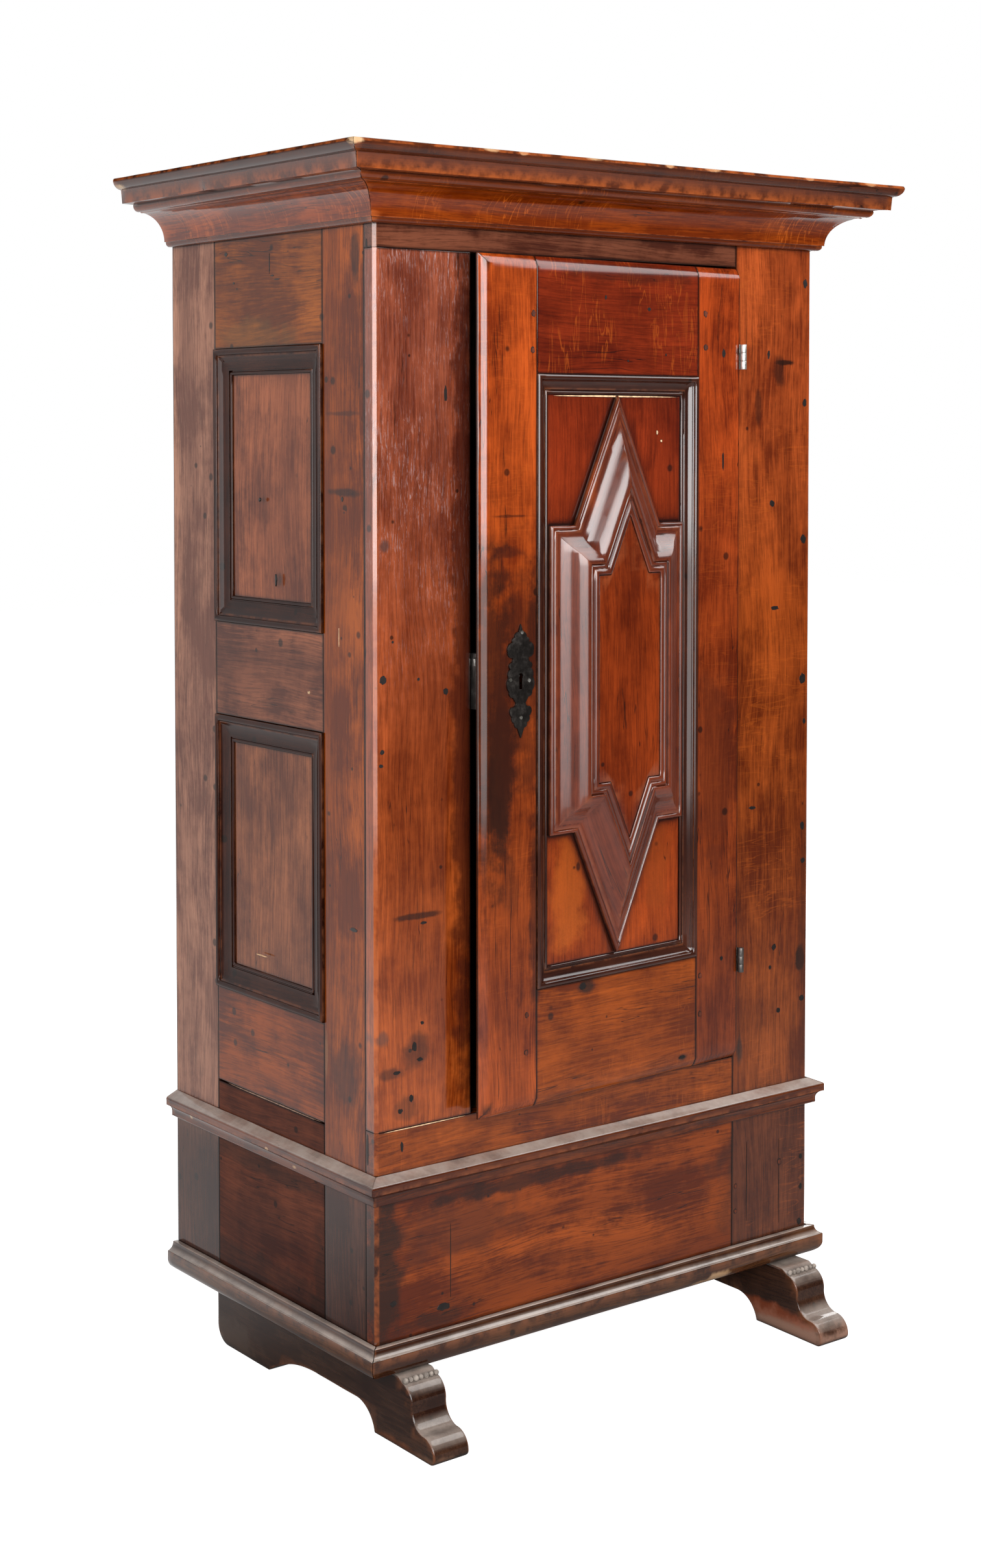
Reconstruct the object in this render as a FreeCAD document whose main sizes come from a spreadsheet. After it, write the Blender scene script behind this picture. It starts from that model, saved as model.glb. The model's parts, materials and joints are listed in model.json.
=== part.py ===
import FreeCAD, Part
import math
import os

import Sketcher
from FreeCAD import Vector

# A free-standing cupboard: a framed case on two sled feet, one framed door hinged on the right.
# X runs to the viewer's right, Y to the back and Z up. The origin is on the floor, in the middle
# of the box round the whole piece. All lengths are in millimetres.

DRIVING = {
    # overall
    "total_height": 1900,
    "case_width": 884,
    "case_depth": 580,
    "toe_projection": 106,
    "right_foot_lead": 22,
    "frame_thickness": 26,
    "overrun": 40,
    # front frame
    "left_stile_width": 174,
    "right_stile_width": 172,
    "frieze_height": 112,
    "lower_rail_top": 468,
    "plinth_top": 384,
    # side frames
    "side_rear_stile_width": 134,
    "side_front_stile_width": 110,
    "side_top_rail_height": 247,
    "side_mid_rail_height": 149,
    "side_bottom_rail_height": 152,
    "side_bottom_rail_bottom": 453,
    "side_board_gap": 2.5,
    "panel_thickness": 10,
    "panel_recess": 8,
    "panel_tongue": 9.5,
    "groove_play": 0.4,
    "side_moulding_width": 42,
    "side_moulding_proud": 6,
    # top, back, floor and shelf
    "top_board_thickness": 20,
    "top_board_recess": 8,
    "back_board_thickness": 14,
    "base_board_thickness": 22,
    "floor_thickness": 20,
    "floor_drop": 2,
    "shelf_rise": 654,
    "shelf_thickness": 20,
    "shelf_setback": 30,
    "bearer_width": 22,
    "bearer_height": 24,
    # applied mouldings
    "cornice_projection": 108,
    "cornice_height": 106,
    "mid_moulding_projection": 20.5,
    "mid_moulding_top": 405,
    "mid_moulding_height": 42.5,
    "base_moulding_projection": 20.5,
    "base_moulding_height": 46,
    # sled feet
    "foot_height": 107,
    "foot_inset": 27.5,
    "foot_thickness": 65,
    "toe_sole": 153,
    "toe_ridge_height": 38,
    "toe_ridge_setback": 27,
    "toe_nose_radius": 10,
    "toe_ridge_step": 3,
    "toe_waist_height": 67,
    "toe_waist_setback": 56,
    "toe_shoulder_height": 100,
    "toe_shoulder_setback": 80,
    "toe_top_setback": 92,
    "arch_height": 39,
    "heel_sole": 126,
    "heel_round": 32,
    "heel_setback": 80,
    # door
    "door_ajar_degrees": 3.7,
    "door_proud": 12,
    "door_seat_play": 0.5,
    "door_edge_play": 2.5,
    "door_thickness": 28.5,
    "lip_overlap": 18,
    "rebate_play": 2.5,
    "lip_round_width": 15,
    "lip_round_depth": 8,
    "hinge_stile_width": 96,
    "lock_stile_width": 111,
    "door_top_rail_height": 176,
    "door_bottom_rail_height": 180,
    "door_panel_recess": 11,
    "door_moulding_width": 30,
    "door_moulding_proud": 4.5,
    # raised star on the door panel
    "star_clearance": 1,
    "star_relief": 36.5,
    "star_field_drop": 2.5,
    "star_field_play": 0.2,
    # hinges
    "barrel_radius": 5,
    "barrel_length": 40,
    "barrel_proud": 4.6,
    "hinge_pin_radius": 2,
    "hinge_pin_play": 0.05,
    "hinge_leaf_thickness": 1.2,
    "hinge_leaf_depth": 22,
    "hinge_leaf_play": 0.3,
    "barrel_clearance": 0.5,
    "stile_to_axis": 1,
    "upper_hinge_setback": 142.5,
    "lower_hinge_setback": 160.5,
    # lock and key plate
    "keyhole_rise": 651.5,
    "keyhole_setback": 77,
    "key_plate_width": 52,
    "key_plate_height": 171,
    "key_plate_thickness": 2,
    "keyhole_radius": 4.5,
    "keyhole_height": 24,
    "keyhole_slot_width": 6.5,
    "key_bore_width": 13,
    "key_bore_height": 30,
    "lock_case_width": 104,
    "lock_case_height": 84,
    "lock_case_depth": 22,
    "lock_case_setback": 2.5,
    "lock_wall": 4,
    "lock_pin_radius": 2.4,
    "lock_pin_recess": 3,
    "bolt_height": 11,
    "bolt_thickness": 5,
    "bolt_length": 62,
    "bolt_tip_setback": 1.5,
    "bolt_throw": 14,
    "bolt_rise": 28,
    "bolt_play": 0.3,
    "bolt_stile_clearance": 1.5,
}

# Each moulding section as rows of across share, up share and bend. A bend of zero arrives by a
# straight edge; any other is the radius of an arc as a share of its chord, positive where the
# edge swells and negative where it is hollow.
CORNICE_SHARES = [
    (0, 0, 0), (0.05, 0, 0), (0.115, 0.075, 0.7), (0.14, 0.075, 0), (0.14, 0.095, 0),
    (0.48, 0.495, -0.8), (0.53, 0.495, 0), (0.545, 0.51, 0), (0.665, 0.615, 0.6),
    (0.85, 0.62, 0), (0.865, 0.82, 0), (0.88, 0.825, 0), (1, 0.965, 0.8), (0.985, 1, 0),
    (0, 1, 0),
]
MID_MOULDING_SHARES = [
    (0, 0, 0), (0.4, 0, 0), (0.49, 0.08, 0.75), (0.49, 0.2, 0), (1, 0.48, -0.75),
    (1, 0.67, 0), (0.88, 0.81, 0.75), (0, 1, 0),
]
BASE_MOULDING_SHARES = [
    (0, 0, 0), (0.2, 0, 0), (1, 0.36, 0.8), (1, 0.69, 0), (0.95, 0.7, 0),
    (0.5, 0.96, -0.85), (0.48, 1, 0), (0, 1, 0),
]
SIDE_MOULDING_SHARES = [
    (0, 0, 0), (1, 0, 0), (1, 0.1, 0), (0.86, 0.1, 0.56), (0.82, 0.1, 0), (0.82, 0.2, 0),
    (0.29, 0.72, -1.6), (0.24, 0.72, 0), (0.24, 0.8, 0), (0, 0.8, 0.62),
]
DOOR_MOULDING_SHARES = [
    (0, 0, 0), (1, 0, 0), (1, 0.1, 0), (0.83, 0.1, 0.56), (0.78, 0.1, 0), (0.78, 0.22, 0),
    (0.3, 0.7, -1.6), (0.3, 0.8, 0), (0, 0.8, 0.6),
]
STAR_MOULDING_SHARES = [
    (0, 0, 0), (1, 0, 0), (1, 0.94, 0), (0.89, 0.94, 0.72), (0.87, 0.9, 0), (0.8, 0.92, 0.72),
    (0.78, 0.9, 0), (0.77, 1, 0), (0.735, 1, 0), (0.47, 0.66, 2.2), (0.2, 0.3, -2.2),
    (0.18, 0.3, 0), (0.11, 0.27, 0), (0.09, 0.23, 0), (0.02, 0.25, 0.62), (0, 0.19, 0),
]
# Radii of single bends as shares of their chords. A true quarter circle has 0.7071.
QUARTER_ROUND_SHARE = 0.72
FOOT_HOLLOW_SHARE = 0.76
REAR_ARCH_SHARE = 1.6
LIP_ROUND_SHARE = 2.4
# Where the side's middle rail sits, as a share of the height that it leaves for the two panels.
MID_RAIL_SHARE = 0.504
# The arch under a foot: its flat part's two ends, as shares of the way from sole to sole.
ARCH_FLAT_SHARES = (0.17, 0.502)
# The star's shoulder, notch and moulding width, as shares of its half height and half width.
STAR_SHOULDER_SHARE = 0.543
STAR_NOTCH_SHARE = 0.633
STAR_WIDTH_SHARE = 0.537
# Half of the key plate, from its upper point down its right edge, as shares of half its width
# and of its height.
KEY_PLATE_SHARES = [
    (0, 1, 0), (0.16, 0.93, 0), (0.44, 0.885, 0.6), (0.63, 0.84, 0.6), (0.98, 0.76, 0.6),
    (0.62, 0.71, 0.6), (0.8, 0.66, -0.6), (0.78, 0.61, 0.6), (0.93, 0.53, 0.75),
    (0.87, 0.41, 0.75), (0.6, 0.36, 0.6), (0.37, 0.31, 0), (0.7, 0.275, -0.6),
    (0.66, 0.19, 0.6), (0.46, 0.134, 0.6), (0.26, 0.09, 0.6), (0, 0, 0),
]


class Size:
    """A length kept both as an expression on the sheet and as its present value."""

    def __init__(self, text, value):
        self.text = text
        self.value = value

    def __add__(self, other):
        return joined(self, "+", other, self.value + number(other))

    def __sub__(self, other):
        return joined(self, "-", other, self.value - number(other))

    def __mul__(self, other):
        return joined(self, "*", other, self.value * number(other))

    def __truediv__(self, other):
        return joined(self, "/", other, self.value / number(other))

    def __neg__(self):
        return Size("(-1 * " + self.text + ")", -self.value)


def number(item):
    return item.value if isinstance(item, Size) else item


def words(item):
    return item.text if isinstance(item, Size) else repr(item)


def joined(left, sign, right, value):
    return Size("(" + words(left) + " " + sign + " " + words(right) + ")", value)


def hypotenuse(run, rise):
    text = "sqrt(" + run.text + " ^ 2 + " + rise.text + " ^ 2)"
    return Size(text, math.hypot(run.value, rise.value))


class Sheet:
    """The driving dimensions, one row each, reached by name."""

    def __init__(self, document, values):
        self.table = document.addObject("Spreadsheet::Sheet", "Sizes")
        for row, (name, value) in enumerate(values.items(), start=1):
            self.table.set("A" + str(row), name)
            self.table.set("B" + str(row), str(value))
            self.table.setAlias("B" + str(row), name)
            setattr(self, name, Size("Sizes." + name, float(value)))


doc = FreeCAD.newDocument("Cupboard")
size = Sheet(doc, DRIVING)
doc.recompute()

ZERO = Size("0", 0.0)
nodes = []


class Corner:
    """A corner of an outline, reached by a straight edge or by an arc."""

    def __init__(self, across, up, radius=None, turn=0):
        self.across = across
        self.up = up
        self.radius = radius
        self.turn = turn


def bent_corners(points):
    """Corners from rows of across, up and bend share; the last row leads to the first."""
    corners = []
    previous = points[-1]
    for across, up, bend_share in points:
        if bend_share == 0:
            corners.append(Corner(across, up))
        else:
            chord = hypotenuse(across - previous[0], up - previous[1])
            turn = math.copysign(1, bend_share)
            corners.append(Corner(across, up, chord * abs(bend_share), turn))
        previous = (across, up)
    return corners


def from_shares(table, width, height, place, flipped):
    """Corners of a share table, put on the sketch by the function place(across, up)."""
    hand = -1 if flipped else 1
    points = []
    for across_share, up_share, bend_share in table:
        across, up = place(width * across_share, height * up_share)
        points.append((across, up, bend_share * hand))
    return bent_corners(points)


def rectangle(across_span, up_span):
    return [
        Corner(across_span[0], up_span[0]), Corner(across_span[1], up_span[0]),
        Corner(across_span[1], up_span[1]), Corner(across_span[0], up_span[1]),
    ]


def arc_between(begin, end, radius, turn):
    """Arc of a circle from begin to end, turning left for turn 1 and right for turn -1."""
    chord = end - begin
    half_share = chord.Length / 2
    reach = math.sqrt(max(radius ** 2 - half_share ** 2, 0.0))
    left = Vector(-chord.y, chord.x, 0).normalize()
    centre = (begin + end) / 2 + left * reach * turn
    first, last = (begin, end) if turn > 0 else (end, begin)
    start_angle = math.atan2(first.y - centre.y, first.x - centre.x)
    end_angle = math.atan2(last.y - centre.y, last.x - centre.x)
    circle = Part.Circle(centre, Vector(0, 0, 1), radius)
    return Part.ArcOfCircle(circle, start_angle, end_angle)


def sketch_on(body, plane, offset):
    sketch = body.newObject("Sketcher::SketchObject", body.Name + "_outline")
    support = [item for item in body.Origin.OriginFeatures if item.Role == plane][0]
    sketch.AttachmentSupport = (support, [""])
    sketch.MapMode = "FlatFace"
    sketch.setExpression(".AttachmentOffset.Base.z", offset.text)
    return sketch


def bind(sketch, kind, places, length):
    index = sketch.addConstraint(Sketcher.Constraint(kind, *places, length.value))
    sketch.setExpression("Constraints[" + str(index) + "]", length.text)


def draw(sketch, corners):
    """Closed outline through the corners, every corner and radius bound to the sheet."""
    count = len(corners)
    points = [Vector(corner.across.value, corner.up.value, 0) for corner in corners]
    leaving = []
    arriving = []
    for index in range(count):
        target = corners[(index + 1) % count]
        begin = points[index]
        end = points[(index + 1) % count]
        if target.radius is None:
            sketch.addGeometry(Part.LineSegment(begin, end))
        else:
            sketch.addGeometry(arc_between(begin, end, target.radius.value, target.turn))
        backwards = target.turn < 0
        leaving.append(2 if backwards else 1)
        arriving.append(1 if backwards else 2)
    for index in range(count):
        after = (index + 1) % count
        joint = (index, arriving[index], after, leaving[after])
        sketch.addConstraint(Sketcher.Constraint("Coincident", *joint))
    for index, corner in enumerate(corners):
        bind(sketch, "DistanceX", (-1, 1, index, leaving[index]), corner.across)
        bind(sketch, "DistanceY", (-1, 1, index, leaving[index]), corner.up)
        target = corners[(index + 1) % count]
        if target.radius is not None:
            bind(sketch, "Radius", (index,), target.radius)
    return sketch


def new_body(label, place=(ZERO, ZERO, ZERO), turned=False):
    """A body of its own, at a place on the sheet; turned ones swing with the ajar door."""
    body = doc.addObject("PartDesign::Body", label)
    body.Label = label
    if turned:
        body.Placement = FreeCAD.Placement(
            Vector(), FreeCAD.Rotation(Vector(0, 0, 1), size.door_ajar_degrees.value))
        body.setExpression("Placement.Rotation.Angle", size.door_ajar_degrees.text)
    for axis, length in zip("xyz", place):
        body.setExpression("Placement.Base." + axis, length.text)
    nodes.append(body)
    return body


def sketch_height(plane, start, length):
    """Where the outline of a run from start lies on its plane's normal."""
    return -(start + length) if plane == "XZ_Plane" else start


def extrude(body, kind, sketch, length):
    """Pad or pocket of a sketch; a pocket has to take something away."""
    before = body.Shape.Volume if body.Tip else 0.0
    feature = body.newObject("PartDesign::" + kind, body.Name + "_" + kind.lower())
    feature.Profile = sketch
    feature.setExpression("Length", length.text)
    if kind == "Pocket":
        feature.Reversed = True
    doc.recompute()
    if kind == "Pocket" and not body.Shape.Volume < before:
        raise RuntimeError("a pocket took nothing away from " + body.Label)


def solid(body, plane, start, length, corners):
    sketch = draw(sketch_on(body, plane, sketch_height(plane, start, length)), corners)
    extrude(body, "Pad", sketch, length)


def cut(body, plane, start, length, corners):
    sketch = draw(sketch_on(body, plane, sketch_height(plane, start, length)), corners)
    extrude(body, "Pocket", sketch, length)


def round_shape(body, kind, plane, start, length, centre, radius):
    """Round pad or pocket about a centre given on the plane."""
    sketch = sketch_on(body, plane, sketch_height(plane, start, length))
    middle = Vector(centre[0].value, centre[1].value, 0)
    sketch.addGeometry(Part.Circle(middle, Vector(0, 0, 1), radius.value))
    bind(sketch, "DistanceX", (-1, 1, 0, 3), centre[0])
    bind(sketch, "DistanceY", (-1, 1, 0, 3), centre[1])
    bind(sketch, "Radius", (0,), radius)
    extrude(body, kind, sketch, length)


def plank(label, x_span, y_span, z_span, turned=False, place=(ZERO, ZERO, ZERO)):
    body = new_body(label, place, turned)
    length = z_span[1] - z_span[0]
    solid(body, "XY_Plane", z_span[0], length, rectangle(x_span, y_span))
    return body


def notch(body, x_span, y_span, z_span):
    cut(body, "XY_Plane", z_span[0], z_span[1] - z_span[0], rectangle(x_span, y_span))


def ring(body, plane, offset, path, section_height, section):
    """A section carried round a closed path with mitred corners."""
    path_sketch = draw(sketch_on(body, plane, offset), path)
    section_sketch = draw(sketch_on(body, "XY_Plane", section_height), section)
    pipe = body.newObject("PartDesign::AdditivePipe", body.Name + "_pipe")
    pipe.Profile = section_sketch
    pipe.Spine = (path_sketch, [])
    pipe.Transition = "Right corner"
    doc.recompute()


# Planes of the case
half_width = size.case_width / 2
front_reach = size.toe_projection + size.right_foot_lead
front = front_reach - (size.case_depth + front_reach) / 2
back = front + size.case_depth
frame_back = front + size.frame_thickness
case_bottom = size.foot_height
case_top = size.total_height - size.top_board_recess - size.top_board_thickness
left = -half_width
right = half_width
inner_left = left + size.frame_thickness
inner_right = right - size.frame_thickness
opening_left = left + size.left_stile_width
opening_right = right - size.right_stile_width
frieze_bottom = case_top - size.frieze_height
floor_top = size.lower_rail_top - size.floor_drop
shelf_top = floor_top + size.shelf_rise


def make_front_frame():
    depth = (front, frame_back)
    plank("front_left_stile", (left, opening_left), depth, (size.lower_rail_top, frieze_bottom))
    plank("front_right_stile", (opening_right, right), depth, (case_bottom, case_top))
    plank("frieze_rail", (left, opening_right), depth, (frieze_bottom, case_top))
    plank("lower_front_rail", (left, opening_right), depth, (size.plinth_top, size.lower_rail_top))
    plank("plinth_front_board", (left, opening_right), depth, (case_bottom, size.plinth_top))


# Side frames: distances are measured inwards from the outer face
side_opening = (frame_back + size.side_front_stile_width, back - size.side_rear_stile_width)
panel_front = size.panel_recess
panel_back = panel_front + size.panel_thickness
groove_depth = size.panel_tongue + size.groove_play


def across(side, near, far):
    """X span of what lies between two distances inwards from a side's outer face."""
    if side == "left":
        return (left + near, left + far)
    return (right - far, right - near)


def groove_span(side):
    return across(side, panel_front - size.groove_play / 2, panel_back + size.groove_play / 2)


def make_side_rail(side, name, z_span, grooves):
    body = plank(side + "_" + name, across(side, ZERO, size.frame_thickness), side_opening, z_span)
    for z_groove in grooves:
        notch(body, groove_span(side), side_opening, z_groove)


def make_side_panel(side, name, z_opening):
    tongue = size.panel_tongue
    plank(
        side + "_" + name + "_panel",
        across(side, panel_front, panel_back),
        (side_opening[0] - tongue, side_opening[1] + tongue),
        (z_opening[0] - tongue, z_opening[1] + tongue))
    make_side_moulding(side, name, z_opening)


def make_side_moulding(side, name, z_opening):
    body = new_body(side + "_" + name + "_moulding")
    height = size.panel_recess + size.side_moulding_proud
    floor_x = across(side, panel_front, panel_front)[0]
    outwards = -1 if side == "left" else 1

    def place(inwards, up):
        return (floor_x + up * outwards, side_opening[0] + inwards)

    section = from_shares(
        SIDE_MOULDING_SHARES, size.side_moulding_width, height, place, side == "right")
    middle = (z_opening[0] + z_opening[1]) / 2
    path = rectangle(side_opening, z_opening)
    ring(body, "YZ_Plane", floor_x, path, middle, section)


def make_side(side):
    upper_top = case_top - size.side_top_rail_height
    lower_bottom = size.side_bottom_rail_bottom + size.side_bottom_rail_height
    panel_heights = upper_top - lower_bottom - size.side_mid_rail_height
    lower = (lower_bottom, lower_bottom + panel_heights * MID_RAIL_SHARE)
    upper = (lower[1] + size.side_mid_rail_height, upper_top)
    thick = across(side, ZERO, size.frame_thickness)
    stiles = {
        "front_stile": ((frame_back, side_opening[0]), (side_opening[0] - groove_depth, side_opening[0])),
        "rear_stile": ((side_opening[1], back), (side_opening[1], side_opening[1] + groove_depth)),
    }
    for name, (depth, groove) in stiles.items():
        stile = plank(side + "_side_" + name, thick, depth, (case_bottom, case_top))
        for opening in (upper, lower):
            notch(stile, groove_span(side), groove, (opening[0] - groove_depth, opening[1] + groove_depth))
    make_side_rail(side, "top_rail", (upper[1], case_top), [(upper[1], upper[1] + groove_depth)])
    make_side_rail(
        side, "mid_rail", (lower[1], upper[0]),
        [(lower[1], lower[1] + groove_depth), (upper[0] - groove_depth, upper[0])])
    make_side_rail(
        side, "bottom_rail", (size.side_bottom_rail_bottom, lower[0]), [(lower[0] - groove_depth, lower[0])])
    make_side_rail(
        side, "plinth_board", (case_bottom, size.side_bottom_rail_bottom - size.side_board_gap), [])
    make_side_panel(side, "upper", upper)
    make_side_panel(side, "lower", lower)


def make_applied_mouldings(name, shares, projection, bottom, height):
    """Front, left and right lengths of one moulding, mitred at the two front corners."""
    reach = projection + size.overrun
    heights = (bottom - size.overrun, height + size.overrun * 2)

    front_piece = new_body(name + "_front")
    section = from_shares(shares, projection, height, lambda out, up: (front - out, bottom + up), True)
    length = size.case_width + projection * 2
    solid(front_piece, "YZ_Plane", left - projection, length, section)
    for wall, outwards in ((left, -1), (right, 1)):
        waste = [
            Corner(wall, front), Corner(wall + reach * outwards, front - reach),
            Corner(wall + reach * outwards, front + size.overrun), Corner(wall, front + size.overrun),
        ]
        cut(front_piece, "XY_Plane", heights[0], heights[1], waste)

    for side, wall, outwards in (("left", left, -1), ("right", right, 1)):
        piece = new_body(name + "_" + side)

        def place(out, up, wall=wall, outwards=outwards):
            return (wall + out * outwards, bottom + up)

        section = from_shares(shares, projection, height, place, side == "left")
        solid(piece, "XZ_Plane", front - projection, size.case_depth + projection, section)
        waste = [
            Corner(wall, front), Corner(wall + reach * outwards, front - reach),
            Corner(wall - size.overrun * outwards, front - reach),
            Corner(wall - size.overrun * outwards, front),
        ]
        cut(piece, "XY_Plane", heights[0], heights[1], waste)


def make_foot(side):
    """Sled foot: scrolled toe in front, long arch, rounded heel. The right one sits further forward."""
    body = new_body(side + "_foot")
    lead = size.right_foot_lead if side == "right" else ZERO
    toe_front = front - size.toe_projection - lead
    heel_back = back - size.heel_setback - lead
    heel_end = heel_back - size.heel_round
    heel_start = heel_end - size.heel_sole
    arch_start = toe_front + size.toe_sole
    arch_flat_start = arch_start + (heel_start - arch_start) * ARCH_FLAT_SHARES[0]
    arch_flat_end = arch_start + (heel_start - arch_start) * ARCH_FLAT_SHARES[1]
    ridge = toe_front + size.toe_ridge_setback
    outline = [
        (arch_start, ZERO, 0),
        (arch_flat_start, size.arch_height, -FOOT_HOLLOW_SHARE),
        (arch_flat_end, size.arch_height, 0),
        (heel_start, ZERO, -REAR_ARCH_SHARE),
        (heel_end, ZERO, 0),
        (heel_back, size.heel_round, QUARTER_ROUND_SHARE),
        (heel_back, size.foot_height, 0),
        (toe_front + size.toe_top_setback, size.foot_height, 0),
        (toe_front + size.toe_shoulder_setback, size.toe_shoulder_height, 0),
        (toe_front + size.toe_waist_setback, size.toe_waist_height, QUARTER_ROUND_SHARE),
        (ridge + size.toe_ridge_step, size.toe_ridge_height, -FOOT_HOLLOW_SHARE),
        (ridge, size.toe_ridge_height, 0),
        (toe_front, size.toe_nose_radius, QUARTER_ROUND_SHARE),
        (toe_front + size.toe_nose_radius, ZERO, QUARTER_ROUND_SHARE),
    ]
    span = across(side, size.foot_inset, size.foot_inset + size.foot_thickness)
    solid(body, "YZ_Plane", span[0], span[1] - span[0], bent_corners(outline))


def make_inside():
    depth = (frame_back, back - size.back_board_thickness)
    width = (inner_left, inner_right)
    plank("top_board", (left, right), (front, back), (case_top, case_top + size.top_board_thickness))
    plank("base_board", width, depth, (case_bottom, case_bottom + size.base_board_thickness))
    plank("floor_board", width, depth, (floor_top - size.floor_thickness, floor_top))
    back_depth = (back - size.back_board_thickness, back)
    plank("back_board_left", (inner_left, ZERO), back_depth, (case_bottom, case_top))
    plank("back_board_right", (ZERO, inner_right), back_depth, (case_bottom, case_top))
    shelf_depth = (frame_back + size.shelf_setback, back - size.back_board_thickness)
    shelf_bottom = shelf_top - size.shelf_thickness
    plank("shelf", width, shelf_depth, (shelf_bottom, shelf_top))
    for side in ("left", "right"):
        near = size.frame_thickness
        bearer_span = across(side, near, near + size.bearer_width)
        plank(side + "_shelf_bearer", bearer_span, shelf_depth, (shelf_bottom - size.bearer_height, shelf_bottom))


# The door is drawn shut, in a frame of its own: the hinge axis is its origin, X runs to the right
# and Y to the back. The bodies are then set at the axis and swung ajar.
door_edge = -(size.stile_to_axis + size.hinge_leaf_thickness * 2 + size.hinge_leaf_play)
door_face = size.barrel_proud
door_back = door_face + size.door_thickness
axis_x = opening_right + size.stile_to_axis
axis_y = front - size.door_seat_play - size.door_proud - size.barrel_proud
door_place = (axis_x, axis_y, ZERO)
lip_edge = opening_left - size.lip_overlap - axis_x
rebate_edge = opening_left + size.rebate_play - axis_x
lip_back = door_face + size.door_proud
door_bottom = size.lower_rail_top + size.door_edge_play
door_top = frieze_bottom - size.door_edge_play
keyhole_centre = door_bottom + size.keyhole_rise
panel_left = lip_edge + size.lock_stile_width
panel_right = door_edge - size.hinge_stile_width
panel_bottom = door_bottom + size.door_bottom_rail_height
panel_top = door_top - size.door_top_rail_height
door_panel_front = door_face + size.door_panel_recess
door_panel_back = door_panel_front + size.panel_thickness
door_groove = (door_panel_front - size.groove_play / 2, door_panel_back + size.groove_play / 2)
panel_middle_x = (panel_left + panel_right) / 2
panel_middle_z = (panel_bottom + panel_top) / 2
keyhole_round_z = keyhole_centre + size.keyhole_height / 2 - size.keyhole_radius


def round_lip(body, x_span, at_top):
    """Takes the swelled edge off the face of a door piece, along its top or bottom."""
    edge = door_top if at_top else door_bottom
    inwards = -1 if at_top else 1
    extra = size.overrun
    inner = edge + size.lip_round_width * inwards
    waste = [
        (door_face, inner, 0),
        (door_face + size.lip_round_depth, edge, LIP_ROUND_SHARE * inwards),
        (door_face + size.lip_round_depth, edge - extra * inwards, 0),
        (door_face - extra, edge - extra * inwards, 0),
        (door_face - extra, inner, 0),
    ]
    cut(body, "YZ_Plane", x_span[0], x_span[1] - x_span[0], bent_corners(waste))


def make_lock_stile():
    body = new_body("door_lock_stile", door_place, turned=True)
    outline = [
        (panel_left, door_face, 0),
        (panel_left, door_back, 0),
        (rebate_edge, door_back, 0),
        (rebate_edge, lip_back, 0),
        (lip_edge, lip_back, 0),
        (lip_edge, door_face + size.lip_round_depth, 0),
        (lip_edge + size.lip_round_width, door_face, LIP_ROUND_SHARE),
    ]
    solid(body, "XY_Plane", door_bottom, door_top - door_bottom, bent_corners(outline))
    for at_top in (True, False):
        round_lip(body, (lip_edge, panel_left), at_top)
    notch(body, (panel_left - groove_depth, panel_left), door_groove,
          (panel_bottom - groove_depth, panel_top + groove_depth))
    key_x = lip_edge + size.keyhole_setback
    half_bore = size.key_bore_width / 2
    half_height = size.key_bore_height / 2
    notch(body, (key_x - half_bore, key_x + half_bore), (door_face, door_back),
          (keyhole_centre - half_height, keyhole_centre + half_height))


def make_hinge_stile():
    span = (panel_right, door_edge)
    depth = (door_face, door_back)
    body = plank("door_hinge_stile", span, depth, (door_bottom, door_top), True, door_place)
    for at_top in (True, False):
        round_lip(body, span, at_top)
    notch(body, (panel_right, panel_right + groove_depth), door_groove,
          (panel_bottom - groove_depth, panel_top + groove_depth))


def make_door_rails():
    span = (panel_left, panel_right)
    depth = (door_face, door_back)
    upper = plank("door_top_rail", span, depth, (panel_top, door_top), True, door_place)
    round_lip(upper, span, True)
    notch(upper, span, door_groove, (panel_top, panel_top + groove_depth))
    lower = plank("door_bottom_rail", span, depth, (door_bottom, panel_bottom), True, door_place)
    round_lip(lower, span, False)
    notch(lower, span, door_groove, (panel_bottom - groove_depth, panel_bottom))


def make_door_panel():
    tongue = size.panel_tongue
    plank(
        "door_panel", (panel_left - tongue, panel_right + tongue), (door_panel_front, door_panel_back),
        (panel_bottom - tongue, panel_top + tongue), True, door_place)
    body = new_body("door_panel_moulding", door_place, turned=True)
    height = size.door_panel_recess + size.door_moulding_proud
    section = from_shares(
        DOOR_MOULDING_SHARES, size.door_moulding_width, height,
        lambda inwards, up: (panel_left + inwards, door_panel_front - up), True)
    path = rectangle((panel_left, panel_right), (panel_bottom, panel_top))
    ring(body, "XZ_Plane", -door_panel_front, path, panel_middle_z, section)


# The star stands between the door's panel mouldings
star_margin = size.door_moulding_width + size.star_clearance
star_half_width = (panel_right - panel_left) / 2 - star_margin
star_half_height = (panel_top - panel_bottom) / 2 - star_margin
star_moulding_width = star_half_width * STAR_WIDTH_SHARE


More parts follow.
